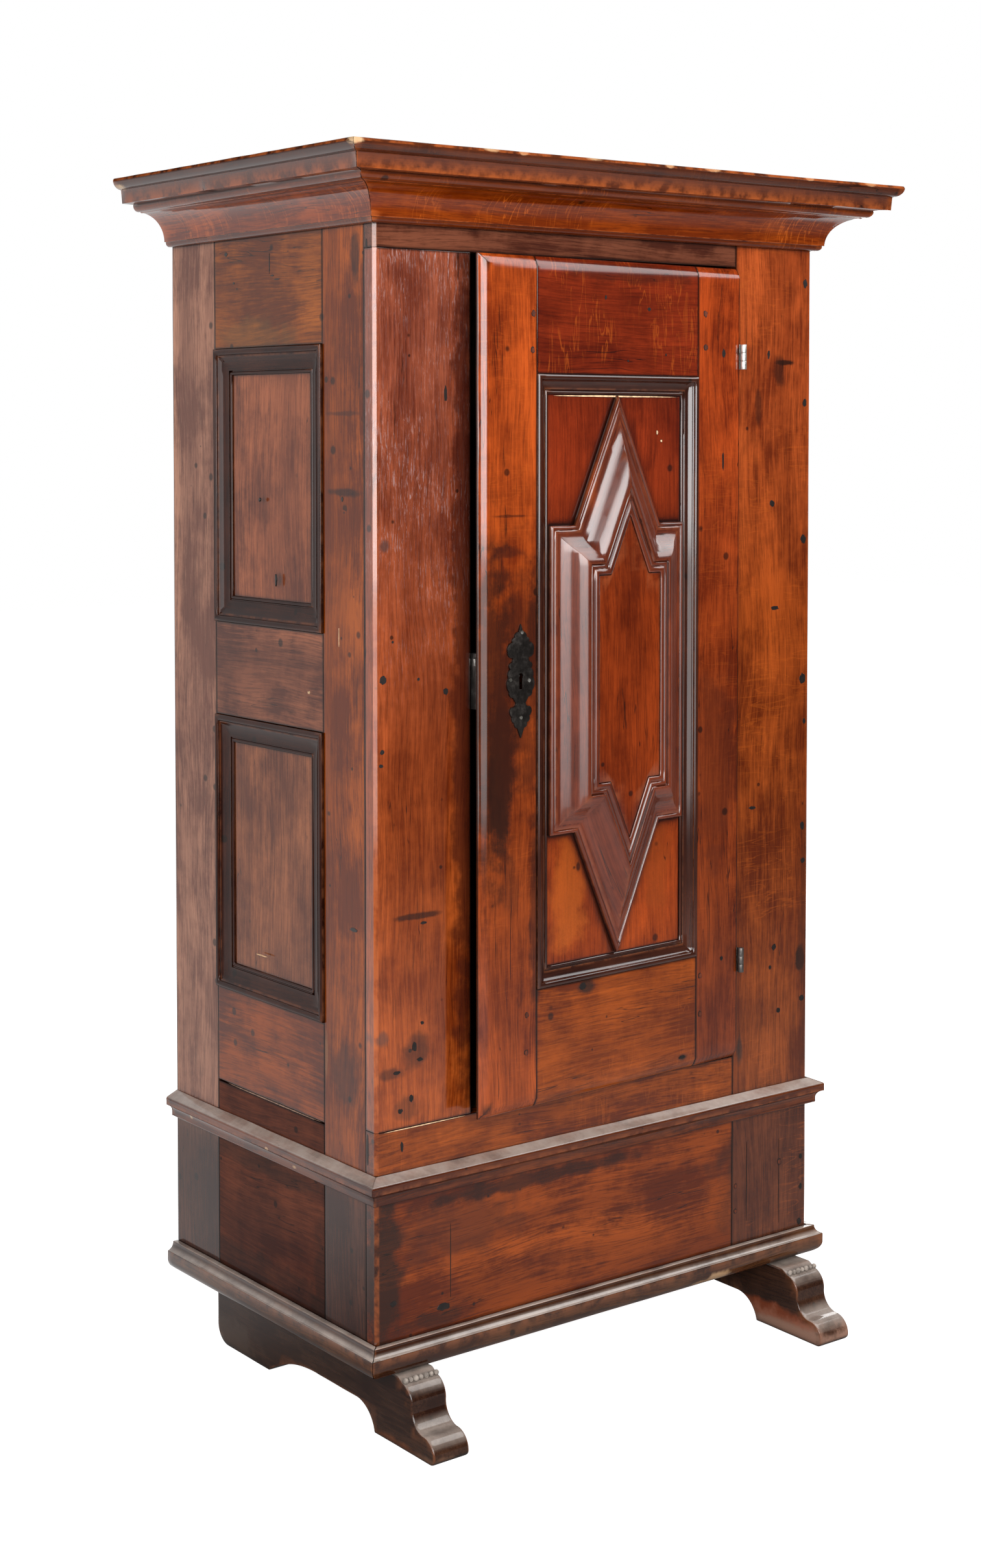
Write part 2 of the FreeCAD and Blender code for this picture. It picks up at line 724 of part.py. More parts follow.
def star_outline(inset):
    """The star: a tall block with a spike above and below, drawn in by the inset."""
    half = star_half_width
    tip = star_half_height
    shoulder = tip * STAR_SHOULDER_SHARE
    notch_x = half * STAR_NOTCH_SHARE
    rise = tip - shoulder
    slant = hypotenuse(notch_x, rise)
    half_in = half - inset
    shoulder_in = shoulder - inset
    notch_in = notch_x - inset * (slant - notch_x) / rise
    tip_in = tip - inset * slant / notch_x
    quarter = [(half_in, shoulder_in), (notch_in, shoulder_in)]
    points = quarter + [(ZERO, tip_in)]
    points += [(-x, z) for x, z in reversed(quarter)]
    points += [(-x, -z) for x, z in quarter]
    points += [(ZERO, -tip_in)]
    points += [(x, -z) for x, z in reversed(quarter)]
    return [Corner(panel_middle_x + x, panel_middle_z + z) for x, z in points]


def make_star():
    body = new_body("star_moulding", door_place, turned=True)
    side_x = panel_middle_x - star_half_width
    section = from_shares(
        STAR_MOULDING_SHARES, star_moulding_width, size.star_relief,
        lambda inwards, up: (side_x + inwards, door_panel_front - up), True)
    ring(body, "XZ_Plane", -door_panel_front, star_outline(ZERO), panel_middle_z, section)
    field = new_body("star_field", door_place, turned=True)
    inner = star_outline(star_moulding_width + size.star_field_play)
    thickness = size.star_relief - size.star_field_drop
    solid(field, "XZ_Plane", door_panel_front - thickness, thickness, inner)


def make_hinge(name, centre):
    """Butt hinge: the case leaf has the outer knuckles and the pin, the door leaf the middle one."""
    bottom = centre - size.barrel_length / 2
    third = size.barrel_length / 3
    play = size.hinge_leaf_play
    knuckles = [(ZERO, third), (third + play, third * 2 - play), (third * 2, size.barrel_length)]
    plate_start = size.barrel_radius + size.barrel_clearance
    plate_end = plate_start + size.hinge_leaf_depth
    case_plate = (-(size.stile_to_axis + size.hinge_leaf_thickness), -size.stile_to_axis)
    door_plate = (door_edge, door_edge + size.hinge_leaf_thickness)
    place = (axis_x, axis_y, bottom)
    centre_line = (ZERO, ZERO)
    pin_radius = size.hinge_pin_radius

    leaf = new_body(name + "_hinge_case_leaf", place)
    round_shape(leaf, "Pad", "XY_Plane", ZERO, size.barrel_length, centre_line, pin_radius)
    whole = (ZERO, size.barrel_length)
    solid(leaf, "XY_Plane", whole[0], whole[1], rectangle(case_plate, (plate_start, plate_end)))
    for span in (knuckles[0], knuckles[2]):
        length = span[1] - span[0]
        round_shape(leaf, "Pad", "XY_Plane", span[0], length, centre_line, size.barrel_radius)
        solid(leaf, "XY_Plane", span[0], length, rectangle(case_plate, (ZERO, plate_end)))

    leaf = new_body(name + "_hinge_door_leaf", place, turned=True)
    low, high = knuckles[1]
    round_shape(leaf, "Pad", "XY_Plane", low, high - low, centre_line, size.barrel_radius)
    solid(leaf, "XY_Plane", low, high - low, rectangle(door_plate, (ZERO, plate_end)))
    solid(leaf, "XY_Plane", whole[0], whole[1], rectangle(door_plate, (plate_start, plate_end)))
    bore = pin_radius + size.hinge_pin_play
    round_shape(leaf, "Pocket", "XY_Plane", low, high - low, centre_line, bore)


def make_key_plate():
    body = new_body("key_plate", door_place, turned=True)
    middle = lip_edge + size.keyhole_setback
    half = size.key_plate_width / 2
    bottom = keyhole_centre - size.key_plate_height / 2
    mirrored_shares = []
    for index in range(len(KEY_PLATE_SHARES) - 1, 1, -1):
        across_share, up_share, _ = KEY_PLATE_SHARES[index - 1]
        mirrored_shares.append((-across_share, up_share, KEY_PLATE_SHARES[index][2]))
    outline = from_shares(
        KEY_PLATE_SHARES + mirrored_shares, half, size.key_plate_height,
        lambda out, up: (middle + out, bottom + up), True)
    front_face = door_face - size.key_plate_thickness
    solid(body, "XZ_Plane", front_face, size.key_plate_thickness, outline)
    slot = (keyhole_centre - size.keyhole_height / 2, keyhole_round_z)
    round_shape(body, "Pocket", "XZ_Plane", front_face, size.key_plate_thickness,
                (middle, keyhole_round_z), size.keyhole_radius)
    half_slot = size.keyhole_slot_width / 2
    cut(body, "XZ_Plane", front_face, size.key_plate_thickness,
        rectangle((middle - half_slot, middle + half_slot), slot))


# Lock: the bolt runs behind the front stile when the door is shut
bolt_front = frame_back + size.bolt_stile_clearance - axis_y
bolt_back = bolt_front + size.bolt_thickness
bolt_bottom = keyhole_centre + size.bolt_rise - size.bolt_height / 2
bolt_tip = rebate_edge + size.bolt_tip_setback


def make_lock():
    key_x = lip_edge + size.keyhole_setback
    case_left = rebate_edge + size.lock_case_setback
    case_back = door_back + size.lock_case_depth
    case_bottom_z = bolt_bottom + size.bolt_height + size.lock_wall * 2 - size.lock_case_height
    case = plank(
        "lock_case", (case_left, case_left + size.lock_case_width), (door_back, case_back),
        (case_bottom_z, case_bottom_z + size.lock_case_height), True, door_place)
    play = size.bolt_play
    channel = size.bolt_length + size.bolt_throw
    notch(case, (case_left, bolt_tip + channel), (bolt_front - play, bolt_back + play),
          (bolt_bottom - play, bolt_bottom + size.bolt_height + play))
    half_bore = size.key_bore_width / 2
    half_height = size.key_bore_height / 2
    notch(case, (key_x - half_bore, key_x + half_bore), (door_back, case_back - size.lock_wall),
          (keyhole_centre - half_height, keyhole_centre + half_height))
    pin_start = door_face + size.lock_pin_recess
    round_shape(case, "Pad", "XZ_Plane", pin_start, case_back - size.lock_wall / 2 - pin_start,
                (key_x, keyhole_round_z), size.lock_pin_radius)
    plank("lock_bolt", (bolt_tip, bolt_tip + size.bolt_length), (bolt_front, bolt_back),
          (bolt_bottom, bolt_bottom + size.bolt_height), True, door_place)


def check_and_export():
    doc.recompute()
    for item in doc.Objects:
        if "Invalid" in item.State or "Error" in item.State:
            raise RuntimeError("failed: " + item.Name)
    os.makedirs("parts", exist_ok=True)
    for body in nodes:
        shape = body.Shape
        if shape.isNull() or not shape.isValid() or len(shape.Solids) != 1:
            raise RuntimeError("bad shape: " + body.Label)
        shape.exportStep("parts/" + body.Label + ".step")
        box = shape.BoundBox
        print(body.Label, "volume", round(shape.Volume), "from", round(box.XMin, 1), round(box.YMin, 1),
              round(box.ZMin, 1), "to", round(box.XMax, 1), round(box.YMax, 1), round(box.ZMax, 1))
    print(len(nodes), "nodes")


make_front_frame()
for side_name in ("left", "right"):
    make_side(side_name)
    make_foot(side_name)
cornice_bottom = size.total_height - size.cornice_height
mid_bottom = size.mid_moulding_top - size.mid_moulding_height
make_applied_mouldings("cornice", CORNICE_SHARES, size.cornice_projection, cornice_bottom, size.cornice_height)
make_applied_mouldings(
    "mid_moulding", MID_MOULDING_SHARES, size.mid_moulding_projection, mid_bottom, size.mid_moulding_height)
make_applied_mouldings(
    "base_moulding", BASE_MOULDING_SHARES, size.base_moulding_projection, case_bottom,
    size.base_moulding_height)
make_inside()
make_lock_stile()
make_hinge_stile()
make_door_rails()
make_door_panel()
make_star()
make_hinge("upper", door_top - size.upper_hinge_setback)
make_hinge("lower", door_bottom + size.lower_hinge_setback)
make_key_plate()
make_lock()
check_and_export()
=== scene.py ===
# %% [markdown]
# # Dressing an old star-door cupboard
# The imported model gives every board, moulding and hinge of the cupboard at its real size. This
# lesson turns those crisp solids into a piece of furniture that is some three hundred years old:
# softened edges, a dark varnish that has worn unevenly, grain that follows each board, dust on
# the ledges, pegs and nails. Every length here is in metres.

# %% Load the frame
import json
import math
import random

import bmesh
import bpy
import numpy as np
from mathutils import Matrix, Vector, noise


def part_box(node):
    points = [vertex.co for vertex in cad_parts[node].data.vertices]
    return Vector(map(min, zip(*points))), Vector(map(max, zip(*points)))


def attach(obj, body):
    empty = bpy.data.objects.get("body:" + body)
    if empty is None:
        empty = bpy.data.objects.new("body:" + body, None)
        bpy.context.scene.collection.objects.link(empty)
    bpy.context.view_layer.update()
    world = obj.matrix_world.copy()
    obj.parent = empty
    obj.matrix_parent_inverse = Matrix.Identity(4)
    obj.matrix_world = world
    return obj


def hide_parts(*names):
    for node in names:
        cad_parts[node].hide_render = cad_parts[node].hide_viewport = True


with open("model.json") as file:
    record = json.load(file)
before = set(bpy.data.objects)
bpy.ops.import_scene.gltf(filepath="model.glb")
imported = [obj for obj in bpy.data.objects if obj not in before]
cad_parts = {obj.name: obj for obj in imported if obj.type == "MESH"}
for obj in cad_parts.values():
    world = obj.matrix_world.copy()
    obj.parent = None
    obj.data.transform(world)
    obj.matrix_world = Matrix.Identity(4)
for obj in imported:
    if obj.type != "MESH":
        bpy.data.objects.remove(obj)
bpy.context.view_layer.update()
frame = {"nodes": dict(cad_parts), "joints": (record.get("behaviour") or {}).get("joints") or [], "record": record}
record = frame["record"]
body_of = {node: body for body, nodes in record["behaviour"]["bodies"].items() for node in nodes}
scene = bpy.context.scene

# %% [markdown]
# ## The camera
# The photograph was taken from the front left with a long lens held level, and the picture was
# then framed lower than the lens axis. A real view camera does that with a falling front; in
# Blender it is the camera's vertical shift. The place and the angles come from fitting a pinhole
# camera to the level and upright edges of the case.

# %% Camera
EYE = Vector((-2.3787, -3.040, 1.4947))
YAW_RIGHT = math.radians(37.375)
PITCH_DOWN = math.radians(2.562)
FOCAL_MM = 54.24
FRAME_SHIFT = -0.1574
SIDE_SHIFT = -0.00054

camera_data = bpy.data.cameras.new("camera")
camera_data.sensor_width = 36.0
camera_data.lens = FOCAL_MM
camera_data.shift_x = SIDE_SHIFT
camera_data.shift_y = FRAME_SHIFT
camera = bpy.data.objects.new("camera", camera_data)
camera.location = EYE
camera.rotation_euler = (math.radians(90) - PITCH_DOWN, 0, -YAW_RIGHT)
scene.collection.objects.link(camera)
scene.camera = camera
scene.view_settings.view_transform = "Standard"
print("eye at", *[round(v, 2) for v in EYE], "with a lens of", FOCAL_MM, "mm")

# %% [markdown]
# ## Which way is along, across and out
# The case stands square to the frame, but the door hangs 3.7 degrees ajar, so its boards run
# along directions of their own. They come from the hinge joint: the shut position is its lower
# limit, and the angle back from there is how far the door stands open.

# %% Directions
hinge = next(joint for joint in frame["joints"] if joint["name"] == "door_hinge")
AJAR = math.radians(-hinge["range_deg"][0])
swing = Matrix.Rotation(AJAR, 3, "Z")
RIGHT, BACK, UP = Vector((1, 0, 0)), Vector((0, 1, 0)), Vector((0, 0, 1))
DOOR_RIGHT, DOOR_BACK = swing @ RIGHT, swing @ BACK
HINGE_AXIS = Vector(hinge["pos_m"])


def on_door(right, back, height):
    """Place in the row frame of a point of the door, measured from the hinge axis."""
    return Vector((HINGE_AXIS.x, HINGE_AXIS.y, 0)) + DOOR_RIGHT * right + DOOR_BACK * back + UP * height


print("door ajar by", round(math.degrees(AJAR), 2), "degrees")

# %% [markdown]
# ## Small helpers for node graphs
# A material is a graph of nodes. Written out call by call it gets long, so one small class adds a
# node, fills its inputs with numbers or with other nodes' outputs, and gives short names to the
# steps used most: mathematics, colour mixing, noise and a smooth ramp.


# %% Graph helper
class Graph:
    """Adds and links the nodes of one tree."""

    def __init__(self, tree):
        self.tree = tree
        tree.nodes.clear()

    def add(self, kind, inputs=None, **settings):
        node = self.tree.nodes.new(kind)
        for name, value in settings.items():
            setattr(node, name, value)
        for name, value in (inputs or {}).items():
            self.feed(node.inputs[name], value)
        return node

    def feed(self, socket, value):
        if isinstance(value, bpy.types.NodeSocket):
            self.tree.links.new(value, socket)
        else:
            socket.default_value = value

    def math(self, operation, first, second=0.0, clamp=False, third=0.0):
        return self.add("ShaderNodeMath", {0: first, 1: second, 2: third}, operation=operation,
                        use_clamp=clamp).outputs[0]

    def times(self, first, second, clamp=False):
        return self.math("MULTIPLY", first, second, clamp)

    def ramp(self, value, low, high, start=0.0, end=1.0):
        """Smooth step from start to end while value goes from low to high."""
        inputs = {"Value": value, "From Min": low, "From Max": high, "To Min": start, "To Max": end}
        return self.add("ShaderNodeMapRange", inputs, interpolation_type="SMOOTHSTEP").outputs["Result"]

    def mix(self, share, first, second, blend="MIX"):
        node = self.add("ShaderNodeMix", {0: share, 6: first, 7: second}, data_type="RGBA",
                        blend_type=blend)
        return node.outputs[2]

    def attribute(self, name, output="Fac"):
        return self.add("ShaderNodeAttribute", attribute_name=name).outputs[output]

    def lay(self, under, mask, strength, over):
        """One colour laid over another where a mask says, as strongly as given."""
        return self.mix(self.times(mask, strength), under, over)

    def stretch(self, vector, factors):
        return self.add("ShaderNodeVectorMath", {0: vector, 1: factors}, operation="MULTIPLY").outputs[0]

    def noise(self, vector, scale, detail=3.0, roughness=0.5, distortion=0.0):
        inputs = {"Vector": vector, "Scale": scale, "Detail": detail, "Roughness": roughness,
                  "Distortion": distortion}
        return self.add("ShaderNodeTexNoise", inputs).outputs["Fac"]


def shader_group(name, inputs, outputs):
    """A node group with named sockets, its graph helper and its input node's outputs."""
    tree = bpy.data.node_groups.new(name, "ShaderNodeTree")
    for socket, (kind, default) in inputs.items():
        item = tree.interface.new_socket(socket, in_out="INPUT", socket_type=kind)
        if default is not None:
            item.default_value = default
    for socket, kind in outputs.items():
        tree.interface.new_socket(socket, in_out="OUTPUT", socket_type=kind)
    graph = Graph(tree)
    return tree, graph, graph.add("NodeGroupInput").outputs


def colour(code, share=1.0):
    """Linear colour of a six-digit web code, as a shader wants it."""
    parts = [int(code[i:i + 2], 16) / 255 for i in (1, 3, 5)]
    linear = [p / 12.92 if p < 0.04045 else ((p + 0.055) / 1.055) ** 2.4 for p in parts]
    return (*[p * share for p in linear], 1.0)


FLOAT, VECTOR = "NodeSocketFloat", "NodeSocketVector"
print("middle grey in linear light:", round(colour("#808080")[0], 3))

# %% [markdown]
# ## Grain
# Wood is a bundle of long fibres, so every pattern in it is drawn out along one direction. Each
# dressed piece carries an attribute named grain: how far along the board a point lies, how far
# across, and how deep. The group stretches noise along the first of these. It gives out streaks
# (the growth rings cut lengthwise), pores (short dark dashes), ray flecks (thin pale lines that
# cross the grain of quartered oak) and fine drying cracks.


# %% Grain group
def make_grain_group():
    outputs = {"Streaks": FLOAT, "Bands": FLOAT, "Pores": FLOAT, "Flecks": FLOAT, "Cracks": FLOAT}
    tree, g, given = shader_group("wood grain", {"Vector": (VECTOR, None)}, outputs)
    place = given["Vector"]
    sway = g.noise(g.stretch(place, (2.5, 6.0, 6.0)), 1.0, 1.0)
    lift = g.add("ShaderNodeCombineXYZ", {1: g.times(sway, 0.05), 2: g.times(sway, 0.02)}).outputs[0]
    bent = g.add("ShaderNodeVectorMath", {0: place, 1: lift}, operation="ADD").outputs[0]
    streaks = g.noise(g.stretch(bent, (11.0, 210.0, 210.0)), 1.0, 5.0, 0.68)
    bands = g.noise(g.stretch(bent, (0.7, 11.0, 11.0)), 1.0, 3.0, 0.55)
    pores = g.noise(g.stretch(bent, (16.0, 430.0, 430.0)), 1.0, 3.0, 0.65)
    rays = g.noise(g.stretch(bent, (85.0, 10.0, 10.0)), 1.0, 2.0, 0.5, 0.6)
    rays = g.ramp(g.math("ABSOLUTE", g.math("SUBTRACT", rays, 0.5)), 0.028, 0.004)
    fields = g.ramp(g.noise(g.stretch(place, (9.0, 7.0, 7.0)), 1.0, 2.0), 0.44, 0.60)
    flecks = g.times(rays, fields)
    split = g.noise(g.stretch(bent, (3.0, 70.0, 70.0)), 1.0, 2.0, 0.5)
    thin = g.math("ABSOLUTE", g.math("SUBTRACT", split, 0.5))
    where = g.ramp(g.noise(g.stretch(place, (4.0, 14.0, 14.0)), 1.0, 1.0), 0.56, 0.66)
    cracks = g.times(g.ramp(thin, 0.009, 0.002), where)
    g.add("NodeGroupOutput", {
        "Streaks": g.ramp(streaks, 0.34, 0.68), "Bands": g.ramp(bands, 0.32, 0.66),
        "Pores": g.ramp(pores, 0.50, 0.66), "Flecks": flecks, "Cracks": cracks})
    return tree


grain_group = make_grain_group()
print("nodes in the grain group:", len(grain_group.nodes))

# %% [markdown]
# ## Stains, painted shade, dust and scattered marks
# Three more effects are shared by all the materials. A stain is a soft-edged blot with a place
# and a size of its own; the same blot also paints shade in a few places, under a ledge and beside
# the door gap. Dust lies where a surface faces up, thicker in some places than others.
# Marks are the dents, ink-dark spots and wormholes that any old board gathers.


# %% Stain and painted shade, dust and mark groups
def make_stain_and_shade_group():
    inputs = {"Vector": (VECTOR, None), "Centre": (VECTOR, (0, 0, 0)), "Size": (VECTOR, (0.1, 0.1, 0.1))}
    tree, g, given = shader_group("stain", inputs, {"Mask": FLOAT})
    away = g.add("ShaderNodeVectorMath", {0: given["Vector"], 1: given["Centre"]}, operation="SUBTRACT")
    scaled = g.add("ShaderNodeVectorMath", {0: away.outputs[0], 1: given["Size"]}, operation="DIVIDE")
    reach = g.add("ShaderNodeVectorMath", {0: scaled.outputs[0]}, operation="LENGTH").outputs["Value"]
    ragged = g.times(g.math("SUBTRACT", g.noise(given["Vector"], 26.0, 4.0, 0.6), 0.5), 1.5)
    g.add("NodeGroupOutput", {"Mask": g.ramp(g.math("ADD", reach, ragged), 1.0, 0.45)})
    return tree


def make_dust_group():
    inputs = {"Vector": (VECTOR, None), "Amount": (FLOAT, 1.0)}
    tree, g, given = shader_group("dust", inputs, {"Mask": FLOAT})
    normal = g.add("ShaderNodeNewGeometry").outputs["Normal"]
    up = g.ramp(g.add("ShaderNodeSeparateXYZ", {0: normal}).outputs["Z"], 0.35, 0.95)
    thick = g.ramp(g.noise(given["Vector"], 14.0, 5.0, 0.65), 0.25, 0.70, 0.35, 1.0)
    mask = g.times(g.times(up, thick), given["Amount"], True)
    g.add("NodeGroupOutput", {"Mask": mask})
    return tree


def make_mark_group():
    inputs = {"Vector": (VECTOR, None), "Density": (FLOAT, 1.0)}
    tree, g, given = shader_group("marks", inputs, {"Spots": FLOAT, "Dents": FLOAT})
    cells = g.add("ShaderNodeTexVoronoi", {"Vector": given["Vector"], "Scale": 34.0})
    pick = g.add("ShaderNodeSeparateXYZ", {0: cells.outputs["Color"]})
    rare = g.math("LESS_THAN", pick.outputs["X"], g.times(given["Density"], 0.10))
    size = g.ramp(pick.outputs["Y"], 0.0, 1.0, 0.05, 0.17)
    edge = g.times(size, 1.6)
    limits = {"Value": cells.outputs["Distance"], "From Min": edge, "From Max": size}
    blot = g.add("ShaderNodeMapRange", limits)
    wide = g.noise(given["Vector"], 60.0, 3.0, 0.6)
    g.add("NodeGroupOutput", {"Spots": g.times(blot.outputs["Result"], rare),
                              "Dents": g.ramp(wide, 0.62, 0.78)})
    return tree


stain_and_shade_group = make_stain_and_shade_group()
dust_group = make_dust_group()
mark_group = make_mark_group()
print("shared groups:", *[tree.name for tree in (grain_group, stain_and_shade_group, dust_group, mark_group)])

# %% [markdown]
# ## Old varnished wood
# One function makes every wooden finish of the cupboard. No two boards take stain alike, so the
# colour itself is not in the material: each board brings its own as an attribute named shade. The
# material makes it lighter and darker with the grain and with slow clouds, adds stains and a few
# patches of painted shade, and lays bands of another tint over a moulding's steps. Corners and
# creases get painted shade, almost black: the ambient occlusion node finds them, and on the panels
# a wider painted shade darkens the wood next to the mouldings. Edges that hands have rubbed are
# paler, and the mesh marks them with an attribute named edge. Flat tops carry dust.


# %% Old wood: helpers
def new_material(name):
    """An empty material and its graph."""
    material = bpy.data.materials.new(name)
    material.use_nodes = True
    return material, Graph(material.node_tree)


def place_group(g, group, inputs):
    node = g.add("ShaderNodeGroup")
    node.node_tree = group
    for name, value in inputs.items():
        g.feed(node.inputs[name], value)
    return node.outputs


def band_mask(g, value, low, high, blur):
    """One where the value lies between low and high, soft at both ends."""
    return g.times(g.ramp(value, low - blur, low + blur), g.ramp(value, high + blur, high - blur))


def wood_figure(g, shade, grain, grain_place, clouds, contrast, flecks):
    """The board's colour as its grain changes it, and the dark and the light tone it lies between."""
    slow = g.ramp(g.noise(g.stretch(grain_place, (2.6, 13.0, 13.0)), 1.0, 5.0, 0.68), 0.32, 0.68)
    figure = g.math("ADD", g.times(slow, 0.36), g.times(grain["Streaks"], 0.28))
    figure = g.math("ADD", figure, g.ramp(clouds, 0.34, 0.66, 0.0, 0.36))
    share = g.math("MULTIPLY_ADD", g.math("SUBTRACT", figure, 0.5), contrast, third=0.5, clamp=True)
    deep = g.mix(1.0, shade, (0.42, 0.32, 0.30, 1.0), "MULTIPLY")
    light = g.mix(1.0, shade, (1.50, 1.58, 1.50, 1.0), "MULTIPLY")
    body = g.lay(g.mix(share, deep, light), grain["Bands"], 0.25 * contrast, deep)
    if flecks:
        body = g.lay(body, grain["Flecks"], flecks, g.mix(0.6, light, colour("#C0601C")))
    body = g.lay(body, grain["Pores"], 0.25 + 0.08 * contrast, g.mix(0.65, deep, colour("#0A0504")))
    return body, deep, light


def crackled(g, body, deep, grain_place, clouds, level, amount):
    """Dry, crackled varnish high on a board: pale islands with dark ravines. The pale islands are also a painted
    lamp glint, stronger towards the top. The islands' mask comes with it.
    """
    island = g.noise(g.stretch(grain_place, (46.0, 400.0, 400.0)), 1.0, 4.0, 0.7, 0.8)
    high = g.times(g.ramp(level, 1.05, 1.50), g.ramp(clouds, 0.38, 0.60, 0.1, 1.0))
    chalk_and_glint = g.times(g.times(g.ramp(island, 0.53, 0.63), high), amount)
    ravine = g.times(g.times(g.ramp(island, 0.47, 0.36), high), amount)
    body = g.mix(ravine, body, g.mix(0.5, deep, colour("#120806")))
    # Pale islands: crackled varnish with a painted lamp glint laid on it, growing with height.
    return g.mix(chalk_and_glint, body, colour("#A99290")), chalk_and_glint


def wood_height(g, grain, grain_place, spots, chalk_and_glint):
    """Slow waves and streaks, with pores, cracks, dents and spots sunk in them."""
    height = g.times(g.noise(g.stretch(grain_place, (2.0, 14.0, 14.0)), 1.0, 2.0), 1.2)
    height = g.math("ADD", height, g.times(grain["Streaks"], 0.22))
    hollows = ((grain["Pores"], 0.26), (grain["Cracks"], 1.3), (spots["Dents"], 0.4), (spots["Spots"], 0.9))
    for hollow, depth in hollows:
        height = g.math("SUBTRACT", height, g.times(hollow, depth))
    return g.math("ADD", height, chalk_and_glint) if chalk_and_glint is not None else height


# %% Old wood material
CORNICE_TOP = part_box("cornice_front")[1].z
BARE_DEPTH = 0.004
OCCLUSION_REACH, HALO_REACH = 0.016, 0.11
SHADE_BLACK = "#0B0605"


def old_wood(name, gloss=0.5, contrast=1.0, flecks=0.0, worn=0.5, crevice_shade=0.85, dust=0.0, crackle=0.0,
             halo_shade=0.0, marks=1.0, relief=1.0, polish=0.11, stains_and_shade=(), bands=()):
    """Varnished oak. A stain, like a patch of painted shade, has a centre, a size, a colour and a share; a band
    two heights and a blur.
    """
    material, g = new_material(name)
    grain_place = g.attribute("grain", "Vector")
    shade = g.attribute("shade", "Color")
    edge = g.attribute("edge")
    joint = g.attribute("joint")
    place = g.add("ShaderNodeTexCoord").outputs["Object"]
    level = g.add("ShaderNodeSeparateXYZ", {0: place}).outputs["Z"]
    grain = place_group(g, grain_group, {"Vector": grain_place})
    spots = place_group(g, mark_group, {"Vector": place, "Density": marks})
    clouds = g.noise(place, 7.0, 6.0, 0.68)

    body, deep, light = wood_figure(g, shade, grain, grain_place, clouds, contrast, flecks)
    for low, high, blur, tint, strength in bands:
        body = g.lay(body, band_mask(g, level, low, high, blur), strength, colour(tint))
    chalk_and_glint = None
    if crackle:
        body, chalk_and_glint = crackled(g, body, deep, grain_place, clouds, level, crackle)
    for centre, size, tint, strength in stains_and_shade:
        mask = place_group(g, stain_and_shade_group, {"Vector": place, "Centre": centre, "Size": size})["Mask"]
        body = g.lay(body, mask, strength, colour(tint))
    body = g.lay(body, spots["Spots"], 0.75, colour("#120A07"))
    body = g.lay(body, grain["Cracks"], 0.7, colour("#0E0705"))
    rubbed = g.times(edge, g.ramp(g.noise(place, 38.0, 3.0, 0.6), 0.36, 0.62))
    body = g.lay(body, rubbed, worn, g.mix(0.45, light, colour("#A8623A")))
    body = g.lay(body, joint, 0.8, colour("#0D0705"))
    # Wide painted shade: a panel darkened next to its mouldings, found by a longer occlusion reach.
    if halo_shade:
        wide = g.add("ShaderNodeAmbientOcclusion", {"Distance": HALO_REACH}, samples=4).outputs["AO"]
        body = g.lay(body, g.ramp(wide, 0.995, 0.90), halo_shade, g.mix(0.75, deep, colour(SHADE_BLACK)))
    # Painted shade: creases and corners close to other wood darkened almost to black, found by ambient occlusion.
    near = g.add("ShaderNodeAmbientOcclusion", {"Distance": OCCLUSION_REACH}, samples=5).outputs["AO"]
    body = g.lay(body, g.ramp(near, 0.82, 0.45), crevice_shade, colour(SHADE_BLACK))
    powder = place_group(g, dust_group, {"Vector": place, "Amount": dust})["Mask"]
    body = g.mix(powder, body, colour("#A3958B"))

    rough = g.math("ADD", 0.50 - gloss * 0.24, g.ramp(clouds, 0.3, 0.7, 0.0, 0.08))
    rough = g.math("ADD", rough, g.times(grain["Pores"], 0.10))
    rough = g.math("ADD", rough, g.times(powder, 0.5), clamp=True)
    height = wood_height(g, grain, grain_place, spots, chalk_and_glint)
    bump = g.add("ShaderNodeBump", {"Height": height, "Strength": 0.5 * relief, "Distance": 0.0009})
    bare = CORNICE_TOP - BARE_DEPTH
    varnish = g.ramp(level, bare - BARE_DEPTH, bare, min(1.0, gloss), 0.0)
    skin = g.add("ShaderNodeBsdfPrincipled", {
        "Base Color": body, "Roughness": rough, "Normal": bump.outputs[0], "Specular IOR Level": 0.0,
        "Coat Weight": varnish, "Coat Roughness": polish, "Coat IOR": 1.7})
    g.add("ShaderNodeOutputMaterial", {"Surface": skin.outputs[0]})
    return material


# %% [markdown]
# ## Where the marks lie
# Stains, knots and nails are easiest to note down as they are measured on the real thing: so many
# millimetres across a face and so many up. Four small functions turn such a pair into a point in
# space, on the case's front, on its left side, on the door's frame and on the door's panel.

# %% Places on the faces
CASE_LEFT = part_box("front_left_stile")[0].x
CASE_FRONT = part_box("front_left_stile")[0].y
DOOR_FACE, PANEL_FACE, PLATE_FACE = 0.0046, 0.0156, 0.0026
STAIN_DEPTH = 0.05
MM_PER_M = 1000


def front_place(x, z):
    return Vector((x / MM_PER_M, CASE_FRONT, z / MM_PER_M))


def side_place(y, z):
    return Vector((CASE_LEFT, y / MM_PER_M, z / MM_PER_M))


def door_place(u, z):
    return on_door(u / MM_PER_M, DOOR_FACE, z / MM_PER_M)


def panel_place(u, z):
    return on_door(u / MM_PER_M, PANEL_FACE, z / MM_PER_M)


def plate_place(u, z):
    return on_door(u / MM_PER_M, PLATE_FACE, z / MM_PER_M)


